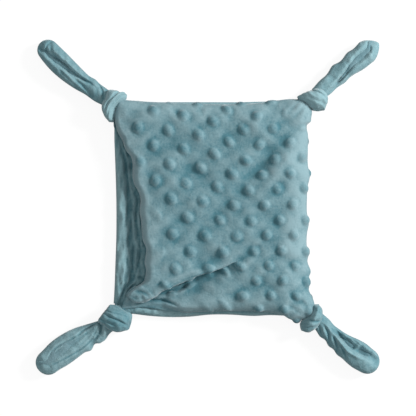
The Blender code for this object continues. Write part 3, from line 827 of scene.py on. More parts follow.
@dataclass
class DottedCover:
    """The front: dimple-dot plush with a rounded rim and the pleat from the bottom left.

    The pleat's tables give the row of its ridge, and how full it is, by column. The dots'
    tables give the lean of their columns, the row of the first dot and the step to the next,
    by column too. An oval is the pixel place of its middle and its two half sizes: dots stand
    lower in the pressed ones. A set of waves is its height, length and seed.
    """

    plan: Plan
    cell: float = 1.06 * MM
    thickness: float = 1.3 * MM
    crown: float = 23.2 * MM
    bulge_height: float = 11.5 * MM
    seam_height: float = 5.8 * MM
    corner_height: float = 20.5 * MM
    corner_reach: float = 30 * MM
    bunched: float = 0.6
    bunched_reach: float = 30 * MM
    roundings: dict[Side, float] = field(default_factory=lambda: in_order(7, 24, 20, 17))
    tucks: dict[Side, float] = field(default_factory=lambda: in_order(3.5, 2.5, 2, 2))
    rim_run: float = 1.35
    first_column: float = 130
    last_column: float = 308
    first_row: float = 102
    last_row: float = 312
    spare_cloth: float = 26 * MM
    tuck_steps: int = 7
    rim_points: int = 40
    lower_points: int = 60
    upper_points: int = 200
    turn_points: int = 12
    least_pleat: float = 0.02
    pleat_nose: float = 3.2 * MM
    pleat_hollow: float = 1.9 * MM
    pleat_overlap: float = 7 * MM
    pleat_fade: float = 34 * MM
    pleat_pixels: Points = (
        (116, 291), (127, 296), (136, 301.5), (145, 303), (151, 301.5), (156, 298), (163, 292),
        (169, 287), (175, 283), (184, 278.5), (197, 274), (212, 270), (226, 265), (240, 259.5), (262, 252),
    )
    pleat_shares: Points = (
        (118, 0.5), (136, 0.85), (150, 1.05), (170, 1.1), (190, 1), (207, 0.8), (220, 0.45), (232, 0.15),
        (244, 0), (300, 0),
    )
    creases: tuple[Crease, ...] = creases(
        (3.0, 7, 0.6, (292, 132), (271, 152), (253, 173), (234, 198)),
        (-1.6, 7, 0, (306, 130), (293, 152), (276, 173), (262, 198)),
        (1.3, 9, 0.4, (232, 200), (214, 216), (190, 236)),
        (0.9, 1.2, 0.4, (140, 294), (143, 298), (144, 302)),
        (1.1, 1.3, 0.5, (133, 290), (139, 291), (145, 293), (150, 296)),
        (0.6, 1.3, 0.4, (130, 297), (137, 298.5), (143, 298)),
        (-0.8, 2.2, 0, (158, 287), (168, 281), (182, 275), (198, 270), (214, 266)),
        (0.8, 1.2, 0.4, (150, 290), (153, 293), (155, 297)),
        (0.5, 1.5, 0.3, (288, 113), (294, 107), (299, 101)),
        (0.6, 1.5, 0.3, (294, 117), (300, 111), (304, 105)),
        (0.5, 1.5, 0.3, (302, 125), (305, 118), (309, 111)),
        (0.5, 1.5, 0.3, (290, 306), (296, 310), (302, 314)),
        (0.5, 1.5, 0.3, (300, 298), (304, 304), (308, 309)),
        (2.0, 1.1, 0.7, (136, 304), (150, 300.5), (161, 300), (169, 302), (178, 306)),
        (2.0, 1.2, 0.9, (152, 299), (160, 293.5), (170, 291.5), (180, 289), (193, 281), (201, 277)),
        (1.4, 4, 0.6, (186, 292), (200, 290), (214, 292)),
        (1.0, 4, 0.3, (228, 264), (240, 259), (252, 252), (262, 245)),
        (1.0, 5, 0.6, (176, 300), (205, 298), (240, 292), (262, 284)),
        (1.2, 1.3, 0.5, (156, 307), (170, 309.5), (186, 310.5), (206, 310)),
        (-0.7, 3, 0, (126, 118), (134, 121), (143, 122)),
        (0.6, 2.4, 0.3, (131, 112), (138, 112), (146, 111)),
        (0.6, 1.5, 0.3, (286, 320), (291, 315), (297, 311)),
        (0.5, 2.6, 0.3, (306, 308), (296, 300), (288, 288)),
        (0.6, 2.2, 0.3, (200, 104), (201, 110), (203, 117)),
        (0.6, 2.4, 0.3, (233, 104), (232, 111), (228, 120)),
        (0.5, 2.0, 0.3, (172, 103), (174, 109), (180, 116)),
        (1.4, 1.6, 0.2, (140, 284), (144, 284.5), (147, 287)),
        (1.0, 1.4, 0.2, (157, 284), (160, 283), (164, 284)),
    )
    rim_ease: float = 0.3
    first_dot: tuple[float, float] = (153, 144)
    dot_column_step: float = 30.4
    dot_lean: Points = ((150, 0), (185, 0.015), (215, 0.05), (250, 0.09), (275, 0.07), (306, 0.04))
    dot_row_start: Points = ((150, 71), (183, 79), (215, 88), (245, 99), (275, 97), (306, 94))
    dot_row_step: Points = ((150, 36.5), (183, 34.8), (215, 33), (245, 30.8), (275, 31), (306, 31.6))
    pressed: tuple[tuple[float, float, float, float], ...] = (
        (146, 245, 20, 55), (128, 296, 30, 14), (175, 304, 55, 11), (120, 106, 16, 12), (140, 205, 9, 40),
        (205, 96, 110, 8), (299, 115, 17, 16),
    )
    waves: tuple[tuple[float, float, int], ...] = ((0.55 * MM, 38 * MM, 11), (0.26 * MM, 16 * MM, 12))
    pressed_height: float = 0.2
    pressed_edge: tuple[float, float] = (0.7, 0.5)
    left_fade: float = 7 * MM
    fold_run: float = 5 * MM
    wall_run: float = 3 * MM
    # Painted light on the front: painted shade under the pleat and at its end, painted highlight above the
    # ridge, on the right side, along the left edge and at the top right corner, with their pixel places,
    # reaches and fades
    under_ridge_shade: float = 1.5
    ridge_highlight: float = 1.3
    shaded_end_tone: float = 0.9
    highlight_side_tone: float = 1.1
    highlight_edge_tone: float = 0.9
    highlight_corner_tone: float = 0.8
    shade_start: float = 132
    shade_fade: float = 14
    shade_lag: float = 4
    shade_reach: float = 24
    light_reach: float = 11
    shaded_end: tuple[float, float, float, float] = (139, 293, 20, 10)
    highlight_side: tuple[float, float] = (284, 150)
    highlight_side_lean: float = 0.12
    highlight_side_rows: tuple[float, float] = (112, 235)
    highlight_side_fades: tuple[float, float, float] = (16, 20, 60)
    highlight_edge_fade: float = 8
    highlight_foot_row: float = 262
    highlight_foot_fade: float = 26
    highlight_corner: tuple[float, float, float, float] = (300, 112, 20, 16)

    def base_height(self, plan: Array) -> Array:
        """The upper side without folds or dots: round rims, a flat crown and low corners.

        Args:
            plan: The points, n by 2.

        Returns:
            One height for each point.
        """
        near = np.zeros(len(plan))
        for place in CORNER_PLACES:
            away = np.linalg.norm(plan - place.neck[:2], axis=1)
            near = np.maximum(near, 1 - smooth(away / self.bunched_reach))
        share = np.ones(len(plan))
        for side, gap in self.plan.gaps(plan).items():
            share *= rounding(gap / (self.roundings[side] * (1 - self.bunched * near)))
        rise = np.full(len(plan), self.crown)
        for place in CORNER_PLACES:
            far = 1 - smooth(-place.beyond(plan) / self.corner_reach)
            rise -= (self.crown - self.corner_height) * far**1.5
        return self.bulge_height + (rise - self.bulge_height) * share

    def run(self, x: float) -> tuple[Array, Array, Array]:
        """The run of cloth from the bottom seam to the top one at one place across.

        Args:
            x: The place across the body.

        Returns:
            The places along, the drop below the crown, and the tuck's share at each point.
        """
        at = np.array([x])
        low, high = (float(self.plan.edge(self.plan.front, side, at)[0]) for side in (Side.BOTTOM, Side.TOP))
        ridge = float(photo_y(eased(self.pleat_pixels, column_of(at))[0]))
        full = max(float(eased(self.pleat_shares, column_of(at))[0]), 0)
        nose, hollow = self.pleat_nose * full, self.pleat_hollow * full
        front = ridge + nose
        behind = front + self.pleat_overlap * full
        turn = np.linspace(0, np.pi, self.turn_points + 2)[1:-1]
        quarter = np.linspace(0, np.pi / 2, self.rim_points)
        bottom_round = self.roundings[Side.BOTTOM] * (1 - np.cos(quarter))
        top_round = self.roundings[Side.TOP] * (1 - np.cos(quarter))
        even = np.linspace(low, behind, self.lower_points)
        lower = np.unique(np.concatenate((low + bottom_round, even)))
        lower = lower[lower < (behind if full > 0 else ridge)]
        even = np.linspace(front, high, self.upper_points)
        upper = np.unique(np.concatenate((high - top_round, even)))
        upper = upper[upper > front]
        places = [lower]
        drops = [2 * (nose + hollow) * (1 - smooth((ridge - lower) / self.pleat_fade))]
        if full > self.least_pleat:
            places += [behind + hollow * np.sin(turn), np.linspace(behind, front, len(turn))]
            places += [front - nose * np.sin(turn)]
            drops += [2 * nose + hollow * (1 + np.cos(turn)), np.full(len(turn), 2 * nose)]
            drops += [nose * (1 + np.cos(turn))]
        tuck_in = np.linspace(1, 0, self.tuck_steps + 1)[:-1]
        tuck_out = np.linspace(0, 1, self.tuck_steps + 1)[1:]
        start, end = low + self.tucks[Side.BOTTOM] * tuck_in, high - self.tucks[Side.TOP] * tuck_out
        y = np.concatenate([start, *places, upper, end])
        level = np.zeros(self.tuck_steps)
        fall = np.concatenate([level, *drops, np.zeros(len(upper)), level])
        tuck = np.concatenate([tuck_in, np.zeros(len(y) - 2 * self.tuck_steps), tuck_out])
        return y, fall, tuck

    def grid(self) -> tuple[Array, Array]:
        """Lays the cloth out as a grid, column by column.

        Returns:
            The grid's points, and how far each is tucked under, as rows by columns.
        """
        columns = int(float(photo_x(self.last_column) - photo_x(self.first_column)) / self.cell) + 16
        rows = int((float(photo_y(self.first_row) - photo_y(self.last_row)) + self.spare_cloth) / self.cell)
        left = self.insets(Side.LEFT)
        right = self.insets(Side.RIGHT)[::-1]
        middle = columns - len(left) - len(right)
        shares = (np.arange(middle) + 0.5) / middle

        def across(i: int, y: Array) -> Array:
            """Where column i runs at the places y.

            Args:
                i: The column.
                y: Places along the body.

            Returns:
                One place across for each.
            """
            start = self.plan.edge(self.plan.front, Side.LEFT, y)
            end = self.plan.edge(self.plan.front, Side.RIGHT, y)
            if i < len(left):
                return start + left[i, 0]
            if i >= len(left) + middle:
                return end - right[i - len(left) - middle, 0]
            start, end = start + self.roundings[Side.LEFT], end - self.roundings[Side.RIGHT]
            return start + (end - start) * shares[i - len(left)]

        grid = np.zeros((rows, columns, 3))
        under = np.zeros((rows, columns))
        for i in range(columns):
            span = self.last_column - self.first_column
            nominal = float(photo_x(self.first_column + span * i / columns))
            for _ in range(2):
                y, fall, down = self.run(nominal)
                nominal = float(across(i, np.array([y[len(y) // 5]]))[0])
            base = self.base_height(np.stack((across(i, y), y), axis=1))
            z = base - np.minimum(fall, 0.9 * np.maximum(base - self.bulge_height, 0))
            z = np.where(down > 0, self.tucked(down), z)
            passed = np.concatenate(([0], np.cumsum(np.hypot(np.diff(y), np.diff(z)))))
            even = np.linspace(0, passed[-1], rows)
            grid[:, i, 1] = np.interp(even, passed, y)
            grid[:, i, 2] = np.interp(even, passed, z)
            under[:, i] = np.interp(even, passed, down)
            grid[:, i, 0] = across(i, grid[:, i, 1])
        low = np.concatenate((left[:, 1], np.zeros(middle), right[:, 1]))[None, :]
        under = np.maximum(under, low)
        grid[:, :, 2] = np.where(low > 0, self.tucked(under), grid[:, :, 2])
        return grid, under

    def tucked(self, share: Array) -> Array:
        """The height of the cloth that turns in under the rim, down to the seam at 1."""
        return self.bulge_height - (self.bulge_height - self.seam_height) * share

    def insets(self, side: Side) -> Array:
        """How the cloth runs in from its seam on one side, over the rim.

        Args:
            side: The left or the right side.

        Returns:
            Rows of the inset and the share of the tuck, from the seam inwards.
        """
        tuck, turn = self.tucks[side], self.roundings[side]
        count = int((turn * self.rim_run + tuck) / self.cell)
        share = np.arange(count) / count
        if side is Side.RIGHT:
            share = 1 - (np.arange(count)[::-1] + 1) / count
        part = tuck / (tuck + turn * self.rim_run)
        down = np.clip(1 - share / part, 0, 1)
        angle = np.clip((share - part) / (1 - part), 0, 1) * np.pi / 2
        return np.stack((np.where(share < part, tuck * down, turn * (1 - np.cos(angle))), down), axis=1)

    def build(self) -> Object:
        """Builds the whole cloth with its folds, before its dots and its thickness.

        Returns:
            The cover as an open sheet.
        """
        grid, under = self.grid()
        flat = grid.reshape(-1, 3)
        plan = flat[:, :2]
        room = np.clip((flat[:, 2] - self.bulge_height) / (self.crown - self.bulge_height), 0, 1)
        wave = sum(height * ripple(plan, length, seed) for height, length, seed in self.waves)
        inside = self.plan.inside(plan)
        folds = relief(self.creases, plan) * smooth(inside / self.fold_run)
        flat[:, 2] += (folds + wave * room) * (1 - under.ravel())
        made = new_mesh("dotted_sheet", flat, grid_faces(*under.shape))
        set_attribute(made, "cloth", self.cloth_places(grid))
        # Painted light and shade on the front, kept in the attribute shade
        set_attribute(made, "shade", self.painted_light_and_shade(flat, inside))
        set_attribute(made, "wall", 1 - smooth(inside / self.wall_run))
        return made

    def painted_light_and_shade(self, points: Array, inside: Array) -> Array:
        """Painted shade under the pleat's ridge and at its bunched end, below 0 for painted highlight above
        the ridge, on the right side, along the left edge and at the top right corner.

        Args:
            points: The cloth's points.
            inside: How far each lies inside the nearest side.

        Returns:
            One value for each point.
        """
        column, row = column_of(points[:, 0]), row_of(points[:, 1])

        def away(x: float, y: float, wide: float, high: float) -> Array:
            """The distance from a pixel place, as a share of an oval's half sizes."""
            return np.hypot((column - x) / wide, (row - y) / high)

        below = row - eased(self.pleat_pixels, column)
        full = np.clip(eased(self.pleat_shares, column - self.shade_lag), 0, 1)
        full *= smooth((column - self.shade_start) / self.shade_fade)
        # Painted highlight above the pleat's ridge and painted shade under it
        over = -self.ridge_highlight * (1 - smooth(-below / self.light_reach))
        under = self.under_ridge_shade * (1 - smooth(below / self.shade_reach))
        shade = full * np.where(below > 0, under, over)
        on_top = smooth(inside / (4 * MM)) * smooth((points[:, 2] - 7 * MM) / (3 * MM))
        shaded_end = self.shaded_end_tone * (1 - smooth(away(*self.shaded_end) ** 2)) * on_top
        shade = np.maximum(shade, shaded_end)
        # Painted highlight on the right side, along the left edge and at the top right corner
        side_column, side_row = self.highlight_side
        first, last = self.highlight_side_rows
        aside, above, beneath = self.highlight_side_fades
        right = smooth((column - side_column + self.highlight_side_lean * (row - side_row)) / aside)
        right = self.highlight_side_tone * right * smooth((row - first) / above)
        shade -= right * (1 - smooth((row - last) / beneath))
        left = eased(self.plan.front[Side.LEFT], row)
        above_foot = 1 - smooth((row - self.highlight_foot_row) / self.highlight_foot_fade)
        edge = 1 - smooth((column - left) / self.highlight_edge_fade)
        shade -= self.highlight_edge_tone * edge * above_foot
        return shade - self.highlight_corner_tone * (1 - smooth(away(*self.highlight_corner)))

    def cloth_places(self, grid: Array) -> Array:
        """Where each point lies in the flat cloth, in dots across and along, and its fullness.

        Args:
            grid: The grid's points, as rows by columns.

        Returns:
            One row of three for each point.
        """
        rows, columns = grid.shape[:2]
        middle, top = columns * 2 // 3, rows * 2 // 3
        steps = np.linalg.norm(np.diff(grid, axis=1), axis=2)
        across = np.concatenate((np.zeros((rows, 1)), np.cumsum(steps, axis=1)), axis=1)
        across += grid[:, middle, 0][:, None] - across[:, middle][:, None]
        steps = np.linalg.norm(np.diff(grid, axis=0), axis=2)
        steps[top:] += self.rim_ease * (np.abs(np.diff(grid[top:, :, 1], axis=0)) - steps[top:])
        along = np.concatenate((np.zeros((1, columns)), np.cumsum(steps, axis=0)), axis=0)
        along += grid[top, :, 1][None, :] - along[top, :][None, :]
        column, row = column_of(across), row_of(along)
        start, step = eased(self.dot_row_start, column), eased(self.dot_row_step, column)
        lean = eased(self.dot_lean, column) * (row - self.first_dot[1])
        u = (column - self.first_dot[0] - lean) / self.dot_column_step
        return np.stack((u, (row - start) / step, self.fullness(grid)), axis=2).reshape(-1, 3)

    def fullness(self, grid: Array) -> Array:
        """How high the dots stand: 1 on the crown, less where the cloth is pressed or pulled.

        Args:
            grid: The grid's points, as rows by columns.

        Returns:
            One value for each point of the grid.
        """
        column, row = column_of(grid[:, :, 0]), row_of(grid[:, :, 1])
        full = np.ones(column.shape)
        start, run = self.pressed_edge
        for x, y, wide, high in self.pressed:
            away = np.sqrt(((column - x) / wide) ** 2 + ((row - y) / high) ** 2)
            full *= self.pressed_height + (1 - self.pressed_height) * smooth((away - start) / run)
        left = self.plan.edge(self.plan.front, Side.LEFT, grid[:, :, 1])
        return full * smooth((grid[:, :, 0] - left) / self.left_fade)


@dataclass(frozen=True)
class RaisedDots:
    """The dimple dots, raised from a cover by a tree that reads its cloth places."""

    step: float = 27.4 * MM
    row_step: float = 29 * MM
    diameter: float = 11.2 * MM
    height: float = 2.6 * MM
    lean: float = 0.075
    moat: float = 0.12 * MM
    moat_place: float = 1.3
    moat_width: float = 0.42
    dome_power: float = 2.3
    foot_power: float = 1.35
    # Painted shade on each dot's side away from the lamp: its strength, and how much of the dome it leaves
    # out
    painted_crescent_tone: float = 1.1
    painted_crescent_share: float = 0.75

    def raise_on(self, made: Object, finish: Material) -> Object:
        """Raises the dots and leaves the cover as a plain mesh.

        Args:
            made: The cover, with the vector attribute "cloth".
            finish: The cover's material.

        Returns:
            The same object, with its dots and the attribute "dot", which holds their painted shade.
        """
        return run_tree(made, self.tree(), {
            "Step": self.step, "Row Step": self.row_step, "Diameter": self.diameter,
            "Height": self.height, "Moat": self.moat, "Lean": self.lean, "Finish": finish,
        })

    def tree(self) -> NodeTree:
        """Two square lattices of domes, the second set half a step on.

        Returns:
            The Geometry Nodes tree.
        """
        sizes = dict.fromkeys(("Step", "Row Step", "Diameter", "Height", "Moat", "Lean"), "Float")
        nodes, given, result = new_group(
            "raised_dots", "GeometryNodeTree",
            {"Cloth": "Geometry", **sizes, "Finish": "Material"}, {"Cloth": "Geometry"},
        )
        math_of = nodes.math
        cloth = nodes.add("GeometryNodeInputNamedAttribute", {"Name": "cloth"}, data_type="FLOAT_VECTOR")
        split = nodes.add("ShaderNodeSeparateXYZ", {0: cloth.outputs["Attribute"]}).outputs
        radius = math_of("MULTIPLY", given["Diameter"], 0.5)

        def nearest(shift: float, start: NodeSocket) -> NodeSocket:
            """How far the nearest dot of one lattice is.

            Args:
                shift: How far the lattice is moved, in dots.
                start: The place across, in dots.

            Returns:
                The distance in metres.
            """
            across = math_of("WRAP", math_of("ADD", start, shift), 0.5, -0.5)
            along = math_of("WRAP", math_of("ADD", split[1], shift), 0.5, -0.5)
            across = math_of("MULTIPLY", across, given["Step"])
            along = math_of("MULTIPLY", along, given["Row Step"])
            squares = math_of("ADD", math_of("MULTIPLY", across, across), math_of("MULTIPLY", along, along))
            return math_of("SQRT", squares)

        def dome_over(start: NodeSocket) -> tuple[NodeSocket, NodeSocket]:
            """The dots round a place across.

            Args:
                start: The place across, in dots.

            Returns:
                The distance to the nearest dot's middle as a share of its radius, and the dome's height.
            """
            distance = math_of("MINIMUM", nearest(0.0, start), nearest(0.5, start))
            share = math_of("DIVIDE", distance, radius)
            fallen = math_of("POWER", math_of("MINIMUM", share, 1.0), self.dome_power)
            return share, math_of("POWER", math_of("SUBTRACT", 1.0, fallen), self.foot_power)

        # The dots are stored darker, with painted shade on each dot's side away from the lamp, in the
        # attribute dot
        share, dome = dome_over(split[0])
        _, leant = dome_over(math_of("ADD", split[0], given["Lean"]))
        bare = math_of("SUBTRACT", leant, math_of("MULTIPLY", dome, self.painted_crescent_share))
        painted_crescent = math_of("MULTIPLY", math_of("MAXIMUM", bare, 0.0), self.painted_crescent_tone)
        dark = math_of("ADD", painted_crescent, dome)
        off = math_of("DIVIDE", math_of("SUBTRACT", share, self.moat_place), self.moat_width)
        ring = math_of("EXPONENT", math_of("MULTIPLY", math_of("MULTIPLY", off, off), -1.0))
        sunk = math_of("MULTIPLY", ring, given["Moat"])
        rise = math_of("SUBTRACT", math_of("MULTIPLY", dome, given["Height"]), sunk)
        normal = nodes.add("GeometryNodeInputNormal").outputs[0]
        scaled = {0: normal, "Scale": math_of("MULTIPLY", rise, split[2])}
        offset = nodes.add("ShaderNodeVectorMath", scaled, operation="SCALE").outputs[0]
        lift = nodes.add("GeometryNodeSetPosition", {"Geometry": given["Cloth"], "Offset": offset})
        kept = {"Geometry": lift.outputs[0], "Name": "dot", "Value": math_of("MULTIPLY", dark, split[2])}
        keep = nodes.add("GeometryNodeStoreNamedAttribute", kept, data_type="FLOAT", domain="POINT")
        put_out_plain(nodes, keep.outputs[0], given["Finish"], result)
        return nodes.tree


# How the back's shares run in one direction: 1 at the first seam, 0 at its outer edge and -1
# round its turn, then MIDDLE to MIDDLE + 1, and the far side's own shares taken from FAR
MIDDLE = 2.0
FAR = -10.0


@dataclass
class SmoothBackCover:
    """The back: a smooth sheet that comes round the left side as a rolled border.

    The band is the border's height in millimetres, by share from its outer edge to its seam.
    """

    plan: Plan
    cell: float = 1.3 * MM
    thickness: float = 1.2 * MM
    floor: float = 0.6 * MM
    edge_height: float = 5.5 * MM
    left_spread: float = 26 * MM
    other_spread: float = 6 * MM
    left_round: float = 8 * MM
    other_round: float = 6 * MM
    round_run: float = 1.6
    left_under: float = 4 * MM
    other_under: float = 3 * MM
    flat_width: float = 165 * MM
    flat_length: float = 185 * MM
    guess_across: tuple[float, float] = (-80 * MM, 85 * MM)
    guess_along: tuple[float, float] = (-95 * MM, 92 * MM)
    seam_height: float = 7.0 * MM
    bottom_roll: float = 3.6 * MM
    full_band: float = 24 * MM
    band: Points = (
        (0, 5.5), (0.04, 8.8), (0.1, 10.4), (0.2, 11), (0.29, 10.6), (0.36, 8.8), (0.42, 6.2), (0.5, 5.2),
        (0.6, 6.4), (0.7, 5.0), (0.8, 6.0), (0.9, 5.6), (1, 6.6),
    )
    under_wave: tuple[float, float, int] = (0.5 * MM, 42 * MM, 23)
    under_run: float = 3 * MM
    # Painted shade on the back along the front cover's rim: where it starts, how far it fades, and its
    # strength
    shade_run: tuple[float, float] = (0.3 * MM, 2 * MM)
    shade_tone: float = 1.3
    corner_power: int = 4
    roll_power: float = 0.7
    # Height, how far it is drawn out along, length and seed of each set of waves
    waves: tuple[tuple[float, float, float, int], ...] = (
        (0.42 * MM, 0.35, 6 * MM, 21), (0.5 * MM, 1.0, 30 * MM, 22), (0.12 * MM, 0.2, 3.5 * MM, 24),
    )
    creases: tuple[Crease, ...] = creases(
        (2.1, 0.9, 0.4, (127, 246), (127, 262), (125.5, 280), (122, 296)),
        (1.5, 0.9, 0.4, (133, 240), (133.5, 256), (131, 276), (126, 292)),
        (1.3, 0.9, 0.4, (140, 226), (139.5, 248), (137, 268), (130, 286)),
        (1.1, 0.9, 0.3, (131, 200), (131, 218), (129, 238)),
        (1.2, 1.0, 0.4, (138, 190), (136.5, 210), (135.5, 230)),
        (1.3, 1.2, 0.3, (126, 160), (127.5, 180), (127, 204), (126.5, 226)),
        (1.0, 0.9, 0.3, (133, 166), (136, 182), (135, 196)),
        (1.2, 0.9, 0.3, (143, 236), (142.5, 254), (143.5, 270)),
        (0.7, 1.3, 0.3, (119, 236), (120, 262), (120, 284)),
        (0.8, 1.0, 0.2, (122, 132), (126, 146), (131, 158)),
        (-2.6, 3, 0, (131, 284.5), (137, 283), (144, 285)),
        (1.8, 1.2, 0.3, (137, 277), (143, 279), (147, 283)),
    )

    def runs(self, spread: float, turn: float) -> Array:
        """The shares of one turned-up side, from its seam round to the floor.

        Args:
            spread: The width of cloth that lies on top of the side.
            turn: The radius of the turn to the underside.

        Returns:
            1 at the seam to 0 at the outer edge, then 0 to -1 round the turn.
        """
        on_top = max(int(spread / self.cell), 4)
        round_it = max(int(turn * self.round_run / self.cell), 5)
        return np.concatenate((np.linspace(1, 0, on_top, endpoint=False), np.linspace(0, -1, round_it)))

    def build(self) -> Object:
        """Builds the whole back sheet, before its thickness.

        Returns:
            The cover as an open sheet.
        """
        left = self.runs(self.left_spread, self.left_round)
        other = self.runs(self.other_spread, self.other_round)
        columns = int(self.flat_width / self.cell)
        rows = int(self.flat_length / self.cell)
        across = np.concatenate((left, MIDDLE + np.arange(columns) / columns, FAR - other[::-1]))
        along = np.concatenate((other, MIDDLE + np.arange(rows) / rows, FAR - other[::-1]))
        u, v = np.meshgrid(across, along)
        x, y = np.meshgrid(
            np.linspace(*self.guess_across, len(across)), np.linspace(*self.guess_along, len(along))
        )
        for _ in range(4):
            x, y = self.place(u, v, x, y)
        z_across, top_across = self.heights(u, y, Side.LEFT)
        z_along, top_along = self.heights(v, y, Side.BOTTOM)
        power = self.corner_power
        z = self.floor + (np.abs(z_across) ** power + np.abs(z_along) ** power) ** (1 / power)
        points = np.stack((x.ravel(), y.ravel(), z.ravel()), axis=1)
        plan = points[:, :2]
        top = np.maximum(top_across, top_along).ravel()
        rise = relief(self.creases, plan)
        for height, drawn, length, seed in self.waves:
            rise += height * ripple(plan * np.array((1.0, drawn)), length, seed)
        points[:, 2] += top * rise
        under = (1 - top) * smooth((self.floor + self.under_run - points[:, 2]) / self.under_run)
        height, length, seed = self.under_wave
        points[:, 2] += under * height * np.abs(ripple(plan, length, seed))
        points[:, 2] = np.maximum(points[:, 2], LOWEST)
        made = new_mesh("smooth_sheet", points, grid_faces(*u.shape)[:, ::-1])
        # Painted shade in the groove along the front cover's rim, kept in the attribute shade
        outside = -self.plan.inside(plan)
        start, run = self.shade_run
        set_attribute(made, "shade", self.shade_tone * top * (1 - smooth((outside - start) / run)))
        return made

    def place(self, u: Array, v: Array, x: Array, y: Array) -> tuple[Array, Array]:
        """One better guess of where each grid point lies in the plan.

        Args:
            u: The share of each point across.
            v: The share of each point along.
            x: The last guess across.
            y: The last guess along.

        Returns:
            The new guess across and along.
        """
        plan = self.plan
        left, right = plan.edge(plan.back, Side.LEFT, y), plan.edge(plan.back, Side.RIGHT, y)
        low, high = plan.edge(plan.back, Side.BOTTOM, x), plan.edge(plan.back, Side.TOP, x)
        band = np.maximum(plan.edge(plan.front, Side.LEFT, y) - left, 0) + self.left_under
        strip = np.maximum(plan.edge(plan.front, Side.BOTTOM, x) - low, 0) + self.other_under
        new_x = self.inset(u, left, right, band, self.left_round)
        new_y = self.inset(v, low, high, strip, self.other_round)
        return new_x, new_y

    def inset(self, share: Array, low: Array, high: Array, spread: Array, turn: float) -> Array:
        """Places in one direction from their shares, between a low and a high side.

        Args:
            share: The share of each point.
            low: Where the first side runs.
            high: Where the far side runs.
            spread: The width of cloth on top of the first side.
            turn: The radius of the first side's turn.

        Returns:
            One place for each point.
        """
        far = FAR - share
        on_top = low + spread * np.clip(share, 0, 1)
        round_low = low + turn * (1 - np.cos(np.clip(-share, 0, 1) * np.pi / 2))
        middle = low + turn + (high - low - turn - self.other_round) * (share - MIDDLE)
        round_high = high - self.other_round * (1 - np.cos(np.clip(-far, 0, 1) * np.pi / 2))
        on_top_high = high - self.other_under * np.clip(far, 0, 1)
        return self.by_share(share, on_top, round_low, middle, on_top_high, round_high)

    def by_share(
        self, share: Array, on_top: Array, turn: Array, middle: Array | float,
        on_top_high: Array, turn_high: Array,
    ) -> Array:
        """Picks each point's value by the stretch of the sheet that its share lies in."""
        near = np.where(share >= MIDDLE, middle, np.where(share >= 0, on_top, turn))
        return np.where(share < FAR / 2, np.where(FAR - share > 0, on_top_high, turn_high), near)

    def heights(self, share: Array, y: Array, side: Side) -> tuple[Array, Array]:
        """The height over the floor from one direction.

        Args:
            share: The share of each point in that direction.
            y: The place of each point along the body.
            side: The direction's first side.

        Returns:
            The heights, and 1 where the cloth lies on top.
        """
        far = FAR - share
        on_top = np.clip(share, 0, 1)
        lift = self.edge_height - self.floor
        rise = self.seam_height - self.edge_height
        seam = lift + rise * on_top
        if side is Side.LEFT:
            plan = self.plan
            width = plan.edge(plan.front, Side.LEFT, y) - plan.edge(plan.back, Side.LEFT, y)
            roll = eased(self.band, on_top) * MM - self.floor
            seam = seam + (roll - seam) * smooth(width / self.full_band)
        else:
            seam = seam + self.bottom_roll * np.sin(on_top * np.pi) ** self.roll_power
        turn, turn_high = (lift * (1 - np.sin(np.clip(-part, 0, 1) * np.pi / 2)) for part in (share, far))
        height = self.by_share(share, seam, turn, 0, lift + rise * np.clip(far, 0, 1), turn_high)
        return height, np.where((share >= 0) & (share < MIDDLE), 1.0, 0.0) * smooth(share * 8)


def keep_faces(made: Object, name: str, kept: Array) -> Object:
    """A copy of a cover with only some of its faces, and no loose points.

    Args:
        made: The whole cover.
        name: The copy's name.
        kept: For each face, whether it stays.

    Returns:
        The new object.
    """
    copy = made.copy()
    copy.data = made.data.copy()
    copy.name = copy.data.name = name
    bpy.context.scene.collection.objects.link(copy)
    work = bmesh.new()
    work.from_mesh(copy.data)
    work.faces.ensure_lookup_table()
    gone = [face for face, stays in zip(work.faces, kept) if not stays]
    bmesh.ops.delete(work, geom=gone, context="FACES")
    work.to_mesh(copy.data)
    work.free()
    return copy


def cut_at_corners(
    made: Object, main: str, part: str,
    cut: float = BEND_START, reach: float = 12 * MM, around: float = 45 * MM,
) -> tuple[Object, dict[Corner, Object]]:
    """Parts a cover into the piece on the body and one gather in each corner.

    Args:
        made: The whole cover, which is used up.
        main: The name of the piece on the body.
        part: The last word of the gathers' names.
        cut: How far inside a neck's hinge the cover is parted.
        reach: How far past the hinge a gather runs on inside its knot.
        around: How far from a neck's hinge the cloth counts as its corner's.

    Returns:
        The main piece and the four gathers.
    """
    middles = read(made.data.polygons, "center", 3)
    body = np.ones(len(middles), bool)
    gathers = {}
    for place in CORNER_PLACES:
        near = np.linalg.norm(middles[:, :2] - place.neck[:2], axis=1) < around
        beyond = place.beyond(middles)
        body &= ~(near & (beyond > -cut))
        inside = near & (beyond > -cut) & (beyond < reach)
        gathers[place.corner] = keep_faces(made, f"{place.corner.value}_{part}", inside)
    whole = keep_faces(made, main, body)
    old = made.data
    bpy.data.objects.remove(made)
    bpy.data.meshes.remove(old)
    return whole, gathers


